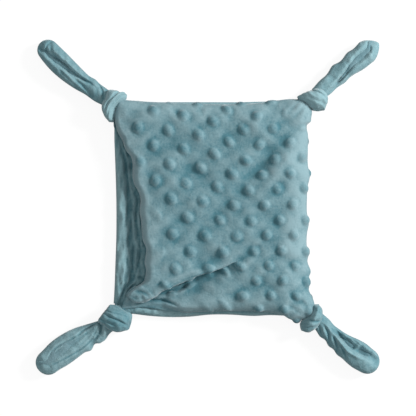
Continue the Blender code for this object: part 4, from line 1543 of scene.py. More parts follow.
@dataclass
class KnotWraps:
    """An overhand knot, as a tight band of cloth with the grooves between its turns.

    Its two sides are tables of (aside, along) in millimetres: how far to the left of the
    knot's axis, and how far past the neck's hinge. Its caps are rings that draw its ends in:
    each one's share of the end's size, and how many millimetres it stands out. Its wave and
    lump are shares of its size and their lengths.
    """

    place: CornerPlace
    body_side: Points
    tail_side: Points
    creases: tuple[Crease, ...]
    seed: int
    # Painted light: how much lighter or darker the whole knot is painted
    tone: float
    half_height: float = 12.2 * MM
    end_width: float = 0.66
    end_height: float = 0.5
    shoulder: float = 5 * MM
    lowest: float = 0.25 * MM
    squareness: float = 0.9
    wave: tuple[float, float] = (0.02, 7 * MM)
    lump: tuple[float, float] = (0.035, 20 * MM)
    caps: Points = ((0.45, 0.4), (0.7, 0.7), (0.88, 0.5))
    rings: int = 110
    sides: int = 150

    def build(self) -> Object:
        """Builds the band with its grooves, and closes its ends.

        Returns:
            The knot as a closed mesh.
        """
        t = (0.5 - 0.5 * np.cos(np.linspace(0, 1, self.rings) * np.pi))[:, None]
        turn = turns(self.sides)[None, :]
        s = np.sin(turn)
        bend = (1 - np.abs(2 * t - 1) ** 3) ** 0.5
        width = self.end_width + (1 - self.end_width) * bend
        height = self.end_height + (1 - self.end_height) * bend
        right, left = self.body_side[0][0] * MM, self.body_side[-1][0] * MM
        centre, half = (left + right) / 2, (left - right) / 2
        aside = centre + half * width * signed_power(np.cos(turn), self.squareness)
        low = eased(self.body_side, aside / MM) * MM
        high = eased(self.tail_side, aside / MM) * MM
        along = low + (high - low) * t + self.shoulder * np.clip(s, 0, 1) * height * (1 - t) ** 1.5
        points = self.placed(along, aside, self.half_height * height * s)
        local = np.stack((along.ravel(), aside.ravel(), points[:, 2]), axis=1)
        wave = self.wave[0] * ripple(local * np.array((1.5, 0.7, 0.7)), self.wave[1], self.seed)
        lump = self.lump[0] * ripple(local, self.lump[1], self.seed + 7)
        fold = relief(self.creases, points[:, :2]) / self.half_height
        rise = (wave + lump + fold).reshape(along.shape)
        size = 1 + rise * bend**0.5 * (0.4 + 0.6 * np.abs(s))
        points = self.placed(along, centre + (aside - centre) * size, self.half_height * height * s * size)
        points = self.closed(points.reshape(self.rings, self.sides, 3))
        points[..., 2] = np.maximum(points[..., 2], self.lowest)
        faces = tube_faces(len(points), self.sides)
        return outward(new_mesh(f"{self.place.corner.value}_knot_wraps", points.reshape(-1, 3), faces))

    def placed(self, along: Array, aside: Array, up: Array) -> Array:
        """Places in the knot's own directions, in the frame.

        Args:
            along: How far past the neck's hinge.
            aside: How far to the left.
            up: How far above the neck's hinge.

        Returns:
            One row for each place.
        """
        axis = self.place.axis
        left = np.array((-axis[1], axis[0], 0.0))
        points = self.place.neck + along[..., None] * axis + aside[..., None] * left
        points[..., 2] += up
        return points.reshape(-1, 3)

    def closed(self, points: Array) -> Array:
        """The rings with their ends drawn in softly to where the neck and the tail enter.

        Args:
            points: The rings of the knot, as rings by sides.

        Returns:
            The rings with those of both caps.
        """
        ends = []
        for ring, way in ((points[0], -1), (points[-1], 1)):
            middle = ring.mean(axis=0)
            drawn_in = [middle + (ring - middle) * share + way * out * MM * self.place.axis
                        for share, out in self.caps]
            ends.append(np.stack(drawn_in))
        return np.concatenate((ends[0], points, ends[1][::-1]))


@dataclass(frozen=True)
class Station:
    """A place along a tail: its half width and height, and how deep its channel is."""

    along: float
    half_width: float
    half_height: float
    channel: float


@dataclass(frozen=True)
class Spine:
    """What a tail's outer cloth and its lining share, at each place along the tail."""

    t: Array
    line: Array
    left: Array
    groove: Array
    centre: Array
    height: Array
    depth: Array


@dataclass
class FoldedTail:
    """A tail of doubled cloth that curls into a channel with a lining in it.

    Its stations give shares of the full sizes. An edge bump is its place along the tail, its
    size, above 0 on the left, and its reach. The tip's powers shape its round end. The
    squareness is that of its sides, its upper half and its lower half: 1 is round.
    """

    place: CornerPlace
    stations: tuple[Station, ...]
    length: float
    bow: float
    tip: float
    groove: Points
    seed: int
    # Painted light: how much lighter or darker the whole tail is painted
    tone: float
    creases: tuple[Crease, ...]
    # Painted light: how much lighter or darker the lining in the channel is painted
    lining_painted_light: float = -0.25
    sleeve: float = 1.25
    half_width: float = 10.25 * MM
    half_height: float = 8.1 * MM
    root_radius: float = 6.2 * MM
    start: float = -10 * MM
    tip_lean: float = 0.0
    tip_reach: float = 1.05
    tip_power: tuple[float, float] = (2.3, 0.5)
    edge_bumps: tuple[tuple[float, float, float], ...] = ()
    channel_depth: float = 5.5 * MM
    channel_half: float = 3.0 * MM
    channel_root: float = 1.2 * MM
    channel_run: tuple[float, float] = (0.15, 0.55)
    squareness: tuple[float, float, float] = (0.9, 0.82, 0.6)
    wave: float = 0.24 * MM
    lining_wave: float = 0.15 * MM
    wave_length: float = 9 * MM
    clearance: float = 0.4 * MM
    settled_at: float = 0.25
    groove_limit: float = 0.45
    lip: float = 0.5 * MM
    lip_place: float = 1.9
    lip_width: float = 0.5
    lining_drop: float = 2.4 * MM
    lining_thickness: float = 2.4 * MM
    lining_run: tuple[float, float] = (0.16, 0.93)
    lining_share: float = 1.2
    lining_spare: float = 0.3 * MM
    lining_fall: float = 1.2 * MM
    lining_sides: int = 28
    rings: int = 150
    sides: int = 132

    def sizes(self, t: Array) -> tuple[Array, Array, Array]:
        """The tail's sizes at places along it.

        Args:
            t: The places, 0 at the root and 1 at the tip.

        Returns:
            The half widths, half heights and channel depths.
        """
        root, full = self.root_radius, self.root_radius * self.sleeve
        wide = [(-0.12, full * 0.9), (0.0, full)]
        high = [(-0.12, root * 0.9), (0.0, root)]
        deep = [(-0.12, 0.0), (0.05, 0.0)]
        for station in self.stations:
            wide.append((station.along, station.half_width * self.half_width))
            high.append((station.along, station.half_height * self.half_height))
            deep.append((station.along, station.channel * self.channel_depth))
        wide.append((1.0, wide[-1][1] * self.tip))
        high.append((1.0, high[-1][1] * 0.8))
        deep.append((1.0, self.channel_depth * 0.5))
        return eased(tuple(wide), t), eased(tuple(high), t), np.maximum(eased(tuple(deep), t), 0)

    def middle(self, t: Array) -> tuple[Array, Array]:
        """The tail's middle line in the plan, and its direction.

        Args:
            t: The places, 0 at the root and 1 at the tip.

        Returns:
            The points of the line, and its direction at each.
        """
        along = self.place.tail_axis[:2]
        across = np.array((-along[1], along[0]))
        bowed = np.outer(self.bow * 4 * t * (1 - t), across)
        line = self.place.root[:2] + np.outer(t * self.length, along) + bowed
        step = self.length * along + np.outer(self.bow * 4 * (1 - 2 * t), across)
        return line, step / np.linalg.norm(step, axis=1)[:, None]

    def tip_share(self, t: Array, width: Array) -> Array:
        """The rounding of the tip, from 1 down to nearly 0 at the end.

        Args:
            t: The places, 0 at the root and 1 at the tip.
            width: The tail's half width at them.

        Returns:
            One share of the size for each place.
        """
        cap = width[-1] * self.tip_reach / self.length
        run, turn = self.tip_power
        return np.maximum((1 - np.clip((t - (1 - cap)) / cap, 0, 1) ** run) ** turn, 0.02)

    def channel_width(self, t: Array) -> Array:
        """Half the channel's width at places along the tail."""
        open_share = smooth((t - self.channel_run[0]) / self.channel_run[1])
        return self.channel_root + (self.channel_half - self.channel_root) * open_share

    def build(self) -> tuple[Object, Object]:
        """Builds the tail along its middle line.

        Returns:
            The outer cloth and the lining.
        """
        first = self.start / self.length
        t = first + (1 - first) * np.sin(np.linspace(0, 1, self.rings) * np.pi / 2)
        t = 0.5 * t + 0.5 * np.linspace(first, 1, self.rings)
        width, height, depth = self.sizes(t)
        cap = self.tip_share(t, width)
        line, direction = self.middle(t)
        left = np.stack((-direction[:, 1], direction[:, 0]), axis=1)
        groove = -beside(softened(photo_path(self.groove)), line)[1]
        groove = np.clip(groove, -self.groove_limit * width, self.groove_limit * width)
        turn = turns(self.sides)
        sides, upper, lower = self.squareness
        c, s = signed_power(np.cos(turn), sides), np.sin(turn)
        round_s = signed_power(s, np.where(s > 0, upper, lower))
        lateral = (width * cap)[:, None] * c
        for along, size, reach in self.edge_bumps:
            bump = size * np.exp(-(((t - along) * self.length / reach) ** 2)) * cap
            lateral += bump[:, None] * np.clip(c * np.sign(size), 0, 1)
        settled = smooth(t / self.settled_at)
        centre = self.place.root[2] * (1 - settled) + (height + self.clearance) * settled
        up = np.clip(s, 0, 1) ** 0.5
        away = (lateral - groove[:, None]) / self.channel_width(t)[:, None]
        lips = self.lip * np.exp(-((np.abs(away) - self.lip_place) ** 2) / self.lip_width)
        lips *= (depth / self.channel_depth * cap)[:, None]
        channel = (depth * cap)[:, None] * np.exp(-(away**2))
        points = np.zeros((self.rings, self.sides, 3))
        points[..., :2] = line[:, None, :] + lateral[..., None] * left[:, None, :]
        back = self.tip_lean * smooth((t - 0.7) / 0.3)[:, None] * lateral
        points[..., :2] += back[..., None] * direction[:, None, :]
        points[..., 2] = centre[:, None] + (height * cap**0.7)[:, None] * round_s + (lips - channel) * up
        flat = points.reshape(-1, 3)
        caps = np.repeat(cap, self.sides)
        flat[:, 2] += relief(self.creases, flat[:, :2]) * np.tile(up, self.rings) * caps
        flat[:, 2] += self.wave * ripple(flat, self.wave_length, self.seed) * caps
        flat[:, 2] = np.maximum(flat[:, 2], LOWEST)
        name = f"{self.place.corner.value}_tail_outer"
        outer = outward(new_mesh(name, flat, tube_faces(self.rings, self.sides)))
        return outer, self.lining(Spine(t, line, left, groove, centre, height, depth))

    def lining(self, spine: Spine) -> Object:
        """The inner fold that fills the lower half of the channel.

        Args:
            spine: What the outer cloth was built on.

        Returns:
            The lining.
        """
        use = (spine.t > self.lining_run[0]) & (spine.t < self.lining_run[1])
        rows = int(use.sum())
        turn = turns(self.lining_sides)
        half = self.channel_width(spine.t) * self.lining_share * (spine.depth / self.channel_depth)
        end = np.sqrt(np.clip(np.sin(np.linspace(0.02, 0.98, rows) * np.pi), 0, 1)) ** 0.6
        top = (spine.centre + spine.height - self.lining_drop)[use] - self.lining_fall * (1 - end)
        thick = self.lining_thickness * end
        wide = ((half[use] + self.lining_spare) * end)[:, None]
        lateral = spine.groove[use][:, None] + wide * np.cos(turn)
        points = np.zeros((rows, self.lining_sides, 3))
        points[..., :2] = spine.line[use][:, None, :] + lateral[..., None] * spine.left[use][:, None, :]
        points[..., 2] = (top - thick)[:, None] + thick[:, None] * np.sin(turn)
        flat = points.reshape(-1, 3)
        flat[:, 2] += self.lining_wave * ripple(flat, self.wave_length, self.seed + 50)
        name = f"{self.place.corner.value}_tail_lining"
        return outward(new_mesh(name, flat, tube_faces(rows, self.lining_sides)))


@dataclass
class WaddingFill:
    """The soft pad between the covers, shaped to the room that they leave."""

    plan: Plan
    cell: float = 2.5 * MM
    gap: float = 5.5 * MM
    lowest: float = 2.6 * MM
    middle: float = 6.5 * MM
    inset: float = 7 * MM
    width: float = 164 * MM
    length: float = 178 * MM
    guess_across: tuple[float, float] = (-70 * MM, 78 * MM)
    guess_along: tuple[float, float] = (-85 * MM, 84 * MM)
    pleat_drop: float = 9 * MM
    pleat_room: float = 16 * MM
    pleat_run: float = 10 * MM
    corner_gap: float = 8 * MM
    corner_run: float = 10 * MM
    rim_share: float = 0.05
    half_least: float = 0.1 * MM

    def build(self, cover: DottedCover) -> Object:
        """Builds a closed pad under the cover's own upper side.

        Args:
            cover: The front cover.

        Returns:
            The pad.
        """
        columns, rows = int(self.width / self.cell), int(self.length / self.cell)
        u, v = np.meshgrid(np.linspace(0, 1, columns), np.linspace(0, 1, rows))
        x, y = np.meshgrid(np.linspace(*self.guess_across, columns), np.linspace(*self.guess_along, rows))
        front = self.plan.front
        for _ in range(3):
            left, right = (self.plan.edge(front, side, y) for side in (Side.LEFT, Side.RIGHT))
            low, high = (self.plan.edge(front, side, x) for side in (Side.BOTTOM, Side.TOP))
            x = left + self.inset + (right - left - 2 * self.inset) * u
            y = low + self.inset + (high - low - 2 * self.inset) * v
        plan = np.stack((x.ravel(), y.ravel()), axis=1)
        top = cover.base_height(plan) - self.gap
        column = column_of(plan[:, 0])
        ridge = photo_y(eased(cover.pleat_pixels, column))
        full = np.maximum(eased(cover.pleat_shares, column), 0)
        top -= self.pleat_drop * full * smooth((ridge + self.pleat_room - plan[:, 1]) / self.pleat_run)
        rim = rounding(np.minimum.reduce((u, 1 - u, v, 1 - v)).ravel() / self.rim_share)
        middle = self.middle
        top = np.maximum(middle + (top - middle) * rim, middle + self.half_least)
        low = middle - (middle - self.lowest) * rim - self.half_least
        for place in CORNER_PLACES:
            close = smooth((-place.beyond(plan) - self.corner_gap) / self.corner_run)
            top = middle + (top - middle) * close
            low = middle + (low - middle) * close
        points = np.concatenate((np.column_stack((plan, top)), np.column_stack((plan, low))))
        return outward(new_mesh("wadding_fill", points, self.faces(rows, columns)))

    def faces(self, rows: int, columns: int) -> Array:
        """The upper grid, the lower grid after it, and the wall round them.

        Args:
            rows: How many rows each grid has.
            columns: How many columns each grid has.

        Returns:
            The corners of each face.
        """
        upper = grid_faces(rows, columns)
        border = np.concatenate((
            np.arange(columns), (np.arange(1, rows) + 1) * columns - 1,
            rows * columns - 2 - np.arange(columns - 1), np.arange(rows - 2, 0, -1) * columns,
        ))
        after = np.roll(border, -1)
        count = rows * columns
        walls = np.stack((border + count, after + count, after, border), axis=1)
        return np.concatenate((upper, upper[:, ::-1] + count, walls))


@dataclass
class SeamStitches:
    """The thread that joins the covers along their border, stitch by stitch."""

    plan: Plan
    spacing: float = 3.2 * MM
    stitch: float = 2.5 * MM
    thread: float = 0.55 * MM
    inset: float = 3.2 * MM
    height: float = 7.4 * MM
    corner_gap: float = 5 * MM
    rows: tuple[float, float] = (306, 112)
    columns: tuple[float, float] = (124, 302)
    samples: int = 60
    segments: int = 8
    rings: int = 6

    def path(self) -> Array:
        """The seam, as points round the body.

        Returns:
            One row for each point.
        """
        along = np.linspace(*map(photo_y, self.rows), self.samples)
        across = np.linspace(*map(photo_x, self.columns), self.samples)
        front = self.plan.front
        left = self.plan.edge(front, Side.LEFT, along) + self.inset
        right = self.plan.edge(front, Side.RIGHT, along) - self.inset
        high = self.plan.edge(front, Side.TOP, across) - self.inset
        low = self.plan.edge(front, Side.BOTTOM, across) + self.inset
        points = np.concatenate((
            np.column_stack((left, along)), np.column_stack((across, high)),
            np.column_stack((right, along))[::-1], np.column_stack((across, low))[::-1],
        ))
        keep = np.ones(len(points), bool)
        for place in CORNER_PLACES:
            keep &= place.beyond(points) < -self.corner_gap
        points = points[keep]
        return np.column_stack((points, np.full(len(points), self.height)))

    def build(self, finish: Material) -> Object:
        """Builds the whole run of stitches as one plain mesh.

        Args:
            finish: The thread's material.

        Returns:
            The stitches.
        """
        path = self.path()
        mesh = bpy.data.meshes.new("seam_stitches")
        mesh.from_pydata(path.tolist(), [(i, i + 1) for i in range(len(path) - 1)], [])
        values = {"Spacing": self.spacing, "Stitch": self.stitch, "Thread": self.thread, "Finish": finish}
        return outward(run_tree(add_object("seam_stitches", mesh), self.tree(), values))

    def tree(self) -> NodeTree:
        """Short rounded stitches, laid end to end along a path.

        Returns:
            The Geometry Nodes tree.
        """
        sizes = dict.fromkeys(("Spacing", "Stitch", "Thread"), "Float")
        nodes, given, result = new_group(
            "seam_stitches", "GeometryNodeTree",
            {"Seam": "Geometry", **sizes, "Finish": "Material"}, {"Stitches": "Geometry"},
        )
        curve = nodes.add("GeometryNodeMeshToCurve", {0: given["Seam"]}).outputs[0]
        spaced = {"Curve": curve, "Length": given["Spacing"]}
        even = nodes.add("GeometryNodeResampleCurve", spaced, mode="LENGTH")
        round_ends = {"Segments": self.segments, "Rings": self.rings, "Radius": 0.5}
        ball = nodes.add("GeometryNodeMeshUVSphere", round_ends)
        thread = {"X": given["Thread"], "Y": given["Thread"], "Z": given["Stitch"]}
        size = nodes.add("ShaderNodeCombineXYZ", thread)
        tangent = nodes.add("GeometryNodeInputTangent").outputs[0]
        turn = nodes.add("FunctionNodeAlignRotationToVector", {"Vector": tangent}, axis="Z")
        place = nodes.add("GeometryNodeInstanceOnPoints", {
            "Points": even.outputs[0], "Instance": ball.outputs["Mesh"],
            "Rotation": turn.outputs[0], "Scale": size.outputs[0],
        })
        put_out_plain(nodes, place.outputs[0], given["Finish"], result)
        return nodes.tree


@dataclass(frozen=True)
class Studio:
    """The camera over the lovey, soft lamps, and the white floor under it."""

    distance: float = 2.092
    lens: float = 200
    sensor: float = 36
    key_power: float = 40.0
    key_size: float = 0.55
    key_place: tuple[float, float, float] = (1.56, 0.62, 1.0)
    fill_light: float = 0.48
    floor_half: float = 6.0
    floor_gray: float = 0.15
    floor_glow: float = 0.9

    def camera(self) -> None:
        """Looks straight down, as the photograph does."""
        bpy.context.scene.view_settings.view_transform = "Standard"
        lens = bpy.data.cameras.new("view")
        lens.lens = self.lens
        lens.sensor_width = self.sensor
        lens.clip_end = 100
        made = add_object("view", lens)
        made.location = (photo_x(PICTURE_MIDDLE), photo_y(PICTURE_MIDDLE), self.distance)
        bpy.context.scene.camera = made

    def lamps(self) -> None:
        """A soft key from the right and above in the picture, and an even world."""
        light = bpy.data.lights.new("key", "AREA")
        light.shape = "DISK"
        light.size = self.key_size
        light.energy = self.key_power
        made = add_object("key", light)
        made.location = self.key_place
        made.rotation_euler = (-made.location).to_track_quat("-Z", "Y").to_euler()
        world = bpy.data.worlds.new("studio")
        world.use_nodes = True
        nodes = Nodes(world.node_tree)
        levels = {"Value": camera_like_rays(nodes), "To Min": self.fill_light, "To Max": 1.0}
        strength = nodes.add("ShaderNodeMapRange", levels).outputs[0]
        nodes.feed(world.node_tree.nodes["Background"], {"Color": (1, 1, 1, 1), "Strength": strength})
        bpy.context.scene.world = world

    def floor(self) -> None:
        """A white floor that still takes the object's shadow."""
        side, gray = self.floor_half, self.floor_gray
        corners = [(-side, -side, 0), (side, -side, 0), (side, side, 0), (-side, side, 0)]
        made = new_mesh("floor", np.array(corners), [(0, 1, 2, 3)])
        finish = bpy.data.materials.new("white_floor")
        finish.use_nodes = True
        finish.node_tree.nodes.clear()
        nodes = Nodes(finish.node_tree)
        matt = nodes.add("ShaderNodeBsdfDiffuse", {"Color": (gray, gray, gray, 1)}).outputs[0]
        white = nodes.math("MULTIPLY", camera_like_rays(nodes), self.floor_glow)
        glow = nodes.add("ShaderNodeEmission", {"Color": (1, 1, 1, 1), "Strength": white}).outputs[0]
        both = nodes.add("ShaderNodeAddShader", {0: matt, 1: glow}).outputs[0]
        nodes.add("ShaderNodeOutputMaterial", {"Surface": both})
        made.data.materials.append(finish)


def camera_like_rays(nodes: Nodes) -> NodeSocket:
    """Joins the rays that see the floor and the world as the camera does.

    Args:
        nodes: The nodes that it joins.

    Returns:
        The output that says so.
    """
    path = nodes.add("ShaderNodeLightPath").outputs
    seen = nodes.math("MAXIMUM", path["Is Camera Ray"], path["Is Glossy Ray"])
    return nodes.math("MAXIMUM", seen, path["Is Transmission Ray"])


KNOTS = (
    KnotWraps(
        CORNER_PLACES[0],
        ((-15.6, 9.3), (-11.9, 8), (-3.3, 8.6), (1, 8.4), (7, 5.6), (12.4, 3.4), (13.8, 5)),
        (
            (-15.6, 11.5), (-13.5, 17.3), (-10.1, 23.6), (0, 21.8), (6, 21.5), (10, 18.2), (12.5, 13.8),
            (13.8, 9),
        ),
        creases(
            (1.7, 1.0, 0.9, (128, 90), (120, 92), (113, 98), (107, 106), (105, 118)),
            (1.4, 1.0, 0.8, (131, 94), (122, 96), (115, 101.5), (109.5, 109), (107.5, 122)),
            (0.7, 1.0, 0.4, (128, 99), (120, 102), (113, 109), (110.5, 122)),
        ),
        seed=31, tone=0.44,
    ),
    KnotWraps(
        CORNER_PLACES[1],
        ((-12.7, 12.6), (-9, 9.4), (-4, 7), (5.6, 6), (10.5, 5.2), (13.5, 6.2)),
        ((-12.7, 15.4), (-11.2, 20), (-6.3, 25.4), (-0.8, 26.6), (5, 24), (8.5, 19), (12, 13), (13.5, 9)),
        creases(
            (1.2, 1.1, 0.3, (304, 87), (312, 90.5), (318, 93), (324, 97), (332, 104)),
            (0.4, 1.4, 0.1, (292, 92), (303, 95.5), (313, 100), (328, 108)),
        ),
        seed=32, tone=0.42,
    ),
    KnotWraps(
        CORNER_PLACES[2],
        ((-12.3, 13.6), (-7.8, 10.4), (0, 6.4), (6.8, 5), (11.7, 9), (15.9, 13.5)),
        ((-12.3, 17.5), (-10.8, 22), (-9.2, 28.5), (-1.1, 29.9), (6.2, 28.3), (14, 21.5), (15.9, 17.5)),
        creases(
            (0.9, 0.8, 0.3, (104, 309), (112, 312.5), (121, 314), (129, 317)),
            (1.0, 0.8, 0.4, (103, 312), (113, 317.5), (122, 321.5), (128, 326)),
            (0.9, 0.8, 0.3, (97, 315.5), (107, 321.5), (115, 325)),
            (0.5, 0.8, 0.2, (111, 305), (122, 309.5), (133, 315)),
            (0.7, 0.8, 0.3, (101, 319.5), (109, 326.5), (119, 329.5)),
        ),
        seed=33, tone=-0.3,
    ),
    KnotWraps(
        CORNER_PLACES[3],
        ((-15, 12), (-12.5, 8.8), (-8.1, 8), (-4.2, 8.6), (6.3, 8.2), (10.7, 7.4), (13.3, 10)),
        (
            (-15, 14), (-13, 18.6), (-9.5, 20.7), (-3, 21.8), (3.9, 21.2), (8.8, 19), (12.2, 15.5),
            (13.3, 12.5),
        ),
        creases(
            (1.9, 1.2, 0.5, (300, 312), (307, 318.5), (315, 321), (326, 318)),
            (0.6, 1.0, 0.2, (294, 323), (305, 327), (314, 326.5), (322, 322)),
            (0.4, 1.2, 0.1, (310, 302), (315, 310), (323, 314)),
        ),
        seed=34, tone=-0.1,
    ),
)
TAILS = (
    FoldedTail(
        CORNER_PLACES[0],
        (
            Station(0.15, 0.72, 0.85, 0.2), Station(0.3, 0.85, 0.95, 0.8), Station(0.5, 0.98, 1, 1),
            Station(0.68, 1.02, 1, 1), Station(0.8, 0.98, 0.98, 0.9),
        ),
        length=70.9 * MM,
        bow=3.2 * MM,
        tip=0.86,
        groove=((50, 48), (57, 58.5), (66, 70), (78, 82), (92, 96)),
        seed=41,
        tone=-0.08,
        creases=creases(
            (
                2.2, 1.5, 0.5, (50.5, 43), (51.8, 51), (57.6, 57.6), (64.4, 65.5), (70.8, 74.2),
                (78.2, 81.5), (85, 88.5), (92, 97),
            ),
            (0.5, 0.9, 0.2, (49, 57.5), (53.5, 61), (61, 71.3), (73.6, 84), (87, 95)),
            (1.2, 0.9, 0.3, (51, 42), (47, 46), (46.6, 51), (50, 58)),
            (1.4, 1.2, 0.3, (64, 60), (67, 66), (70, 72)),
            (0.9, 1.0, 0.7, (94, 80), (100, 86), (103, 94), (103, 101)),
        ),
        channel_half=2.6 * MM,
        lining_drop=3.4 * MM,
        edge_bumps=((0.15, -1.7 * MM, 5 * MM),),
    ),
    FoldedTail(
        CORNER_PLACES[1],
        (
            Station(0.12, 0.74, 0.85, 0.1), Station(0.25, 0.86, 0.9, 0.7), Station(0.36, 0.8, 0.92, 0.9),
            Station(0.5, 0.88, 1, 1), Station(0.65, 0.92, 1, 1), Station(0.79, 1.02, 1, 0.9),
        ),
        length=62.6 * MM,
        bow=0.8 * MM,
        tip=1.0,
        groove=((322, 97), (334, 86), (346, 73), (357, 60), (368, 50)),
        seed=42,
        tone=0.16,
        creases=creases(
            (1.5, 1.6, 0.2, (330, 92), (340, 80), (350, 67), (360, 54)),
            (-1.4, 1.1, 0, (334, 92), (345, 78), (357, 62), (368, 48)),
            (-0.8, 0.9, 0, (341, 76), (352, 64), (366, 47)),
            (2.6, 1.4, 0.5, (333, 92), (337, 87), (342, 83)),
            (1.4, 1.2, 0.3, (326, 97), (331, 91), (336, 84), (343, 77)),
            (0.4, 1.5, 0.2, (331, 76), (335, 79), (338, 82)),
            (0.4, 1.5, 0.2, (345, 62), (348, 65), (351, 69)),
        ),
        lining_painted_light=0.0,
        tip_lean=0.03,
        tip_reach=1.35,
        tip_power=(1.45, 0.66),
        edge_bumps=(
            (0.3, 1.6 * MM, 5 * MM), (0.56, 1.4 * MM, 5 * MM), (0.62, -1.2 * MM, 7 * MM),
            (0.84, 0.8 * MM, 7 * MM),
        ),
    ),
    FoldedTail(
        CORNER_PLACES[2],
        (
            Station(0.15, 0.9, 0.85, 0.3), Station(0.3, 1.12, 0.95, 0.8), Station(0.5, 1.25, 1, 1),
            Station(0.66, 1.24, 1, 1), Station(0.78, 1.13, 0.97, 0.9),
        ),
        length=67.3 * MM,
        bow=-2.6 * MM,
        tip=0.94,
        groove=((100, 322), (88, 332), (72, 343), (57, 354), (47, 363)),
        seed=43,
        tone=0.14,
        creases=creases(
            (3.0, 0.9, 0.6, (100, 321.5), (91, 326.5), (83, 331), (78, 335)),
            (1.7, 0.9, 0.5, (82, 333), (69, 340.4), (58, 346.5), (53, 351), (49.5, 358)),
            (1.3, 0.8, 0.4, (100, 323), (93, 337), (83, 347.5), (65.4, 358), (50, 366)),
            (4.2, 1.7, 0.3, (99, 322), (101, 326), (100.5, 331), (99, 335)),
            (2.8, 1.3, 0.3, (98, 334), (96, 338), (91, 342)),
            (-1.2, 1.6, 0, (104, 328), (105, 333), (103, 337)),
        ),
        lining_painted_light=0.06,
        sleeve=1.2,
        edge_bumps=((0.02, 3.6 * MM, 5.5 * MM), (0.1, 1.6 * MM, 3 * MM), (0.25, 2.6 * MM, 4.2 * MM)),
        channel_depth=2.2 * MM,
        channel_half=4.6 * MM,
        lining_drop=0.9 * MM,
    ),
    FoldedTail(
        CORNER_PLACES[3],
        (
            Station(0.1, 0.7, 0.88, 0.2), Station(0.2, 0.76, 0.95, 0.8), Station(0.38, 0.9, 1, 1),
            Station(0.54, 1.08, 1, 1), Station(0.68, 1.17, 1, 1), Station(0.78, 1.13, 1, 0.9),
        ),
        length=62 * MM,
        bow=-2.4 * MM,
        tip=0.92,
        groove=((328, 320), (338, 330), (346, 340), (356, 348), (366, 354)),
        seed=44,
        tone=-0.12,
        creases=creases(
            (
                1.6, 1.2, 0.6, (324, 315), (331, 323), (338, 332), (344, 340), (350, 346.5),
                (358, 352), (367, 355),
            ),
            (-1.6, 1.4, 0, (321, 320), (332, 332), (339.5, 341), (346, 350), (358, 357), (368, 361)),
            (3.4, 1.7, 0.3, (336, 325), (340, 330), (343, 334)),
            (4.0, 2.1, 0.3, (347, 340), (350, 344), (353, 347)),
            (3.2, 1.6, 0.3, (360, 350), (364, 353), (369, 355)),
            (-1.8, 1.8, 0, (341, 338), (345, 335), (349, 333)),
            (-2.0, 2.0, 0, (353, 351), (357, 347), (361, 343)),
            (0.9, 1.2, 0.3, (350, 337), (356, 342), (361, 346)),
            (1.4, 1.1, 0.6, (317, 322), (320, 330), (321, 339)),
            (1.5, 1.1, 0.6, (325, 326), (328, 334), (329, 343)),
            (1.4, 1.1, 0.6, (333, 335), (336, 343), (337, 351)),
            (1.2, 1.1, 0.6, (341, 345), (344, 352), (346, 359)),
        ),
        edge_bumps=(
            (0.08, -1.8 * MM, 4 * MM), (0.25, -1.8 * MM, 4 * MM), (0.41, -1.4 * MM, 4 * MM),
            (0.57, 0.8 * MM, 12 * MM),
        ),
        lining_painted_light=-0.3,
        channel_half=3.9 * MM,
        channel_root=2.0 * MM,
        lining_drop=5.4 * MM,
    ),
)
FINISHES = (
    Pile("dimple_dot_plush", (0.070, 0.192, 0.232), (0.245, 0.382, 0.420)),
    Pile("smooth_plush", (0.092, 0.224, 0.264), (0.262, 0.425, 0.462)),
    Pile("inner_plush", (0.078, 0.190, 0.225), (0.215, 0.350, 0.390)),
    Pile(
        "polyester_wadding", (0.70, 0.70, 0.67), (0.86, 0.86, 0.83),
        sheen=0.2, sheen_tint=(1, 1, 1), grain=0.5 * MM,
    ),
)
# Painted shade in creases and painted highlight on ridges: for each scale, how far round a point the cloth
# is compared with it in edges, the depth of crease with the full tone, and the full tone
FINE_CREASES = ((12, 0.4 * MM, 0.3),)
DOTTED_CREASES = ((12, 0.6 * MM, 0.3), (110, 1.4 * MM, 0.3))
BACK_CREASES = ((8, 0.5 * MM, 0.34),)
# Painted light that lifts the whole back sheet, which lies in the front's shadow
BACK_PAINTED_LIGHT = 0.12
CREASE_LIMITS = (-0.7, 1.6)
SHADE_LIMITS = (-1.2, 1.5)
KEPT_SHARE = 0.3
SHARP_ANGLE = 55
DOT_PAINTED_SHADE = 0.56
SHADE_TONE = 0.3


def hollowness(made: Object, rounds: int) -> Array:
    """How deep each point lies in a crease, below 0 on a ridge.

    Args:
        made: The piece.
        rounds: How far round a point the cloth is compared with it, in edges.

    Returns:
        The distance, in metres, from each point out to the smoothed surface.
    """
    mesh = made.data
    edges = np.zeros(len(mesh.edges) * 2, np.int32)
    mesh.edges.foreach_get("vertices", edges)
    ends = edges[0::2], edges[1::2]
    count = len(mesh.vertices)
    joined = np.maximum(sum(np.bincount(end, minlength=count) for end in ends), 1)[:, None]
    points = read(mesh.vertices, "co", 3)
    even = points.copy()
    for _ in range(rounds):
        total = np.zeros_like(even)
        for one, other in (ends, ends[::-1]):
            for i in range(3):
                total[:, i] += np.bincount(one, even[other, i], count)
        even = KEPT_SHARE * even + (1 - KEPT_SHARE) * total / joined
    return np.einsum("ij,ij->i", even - points, read(mesh.vertex_normals, "vector", 3))


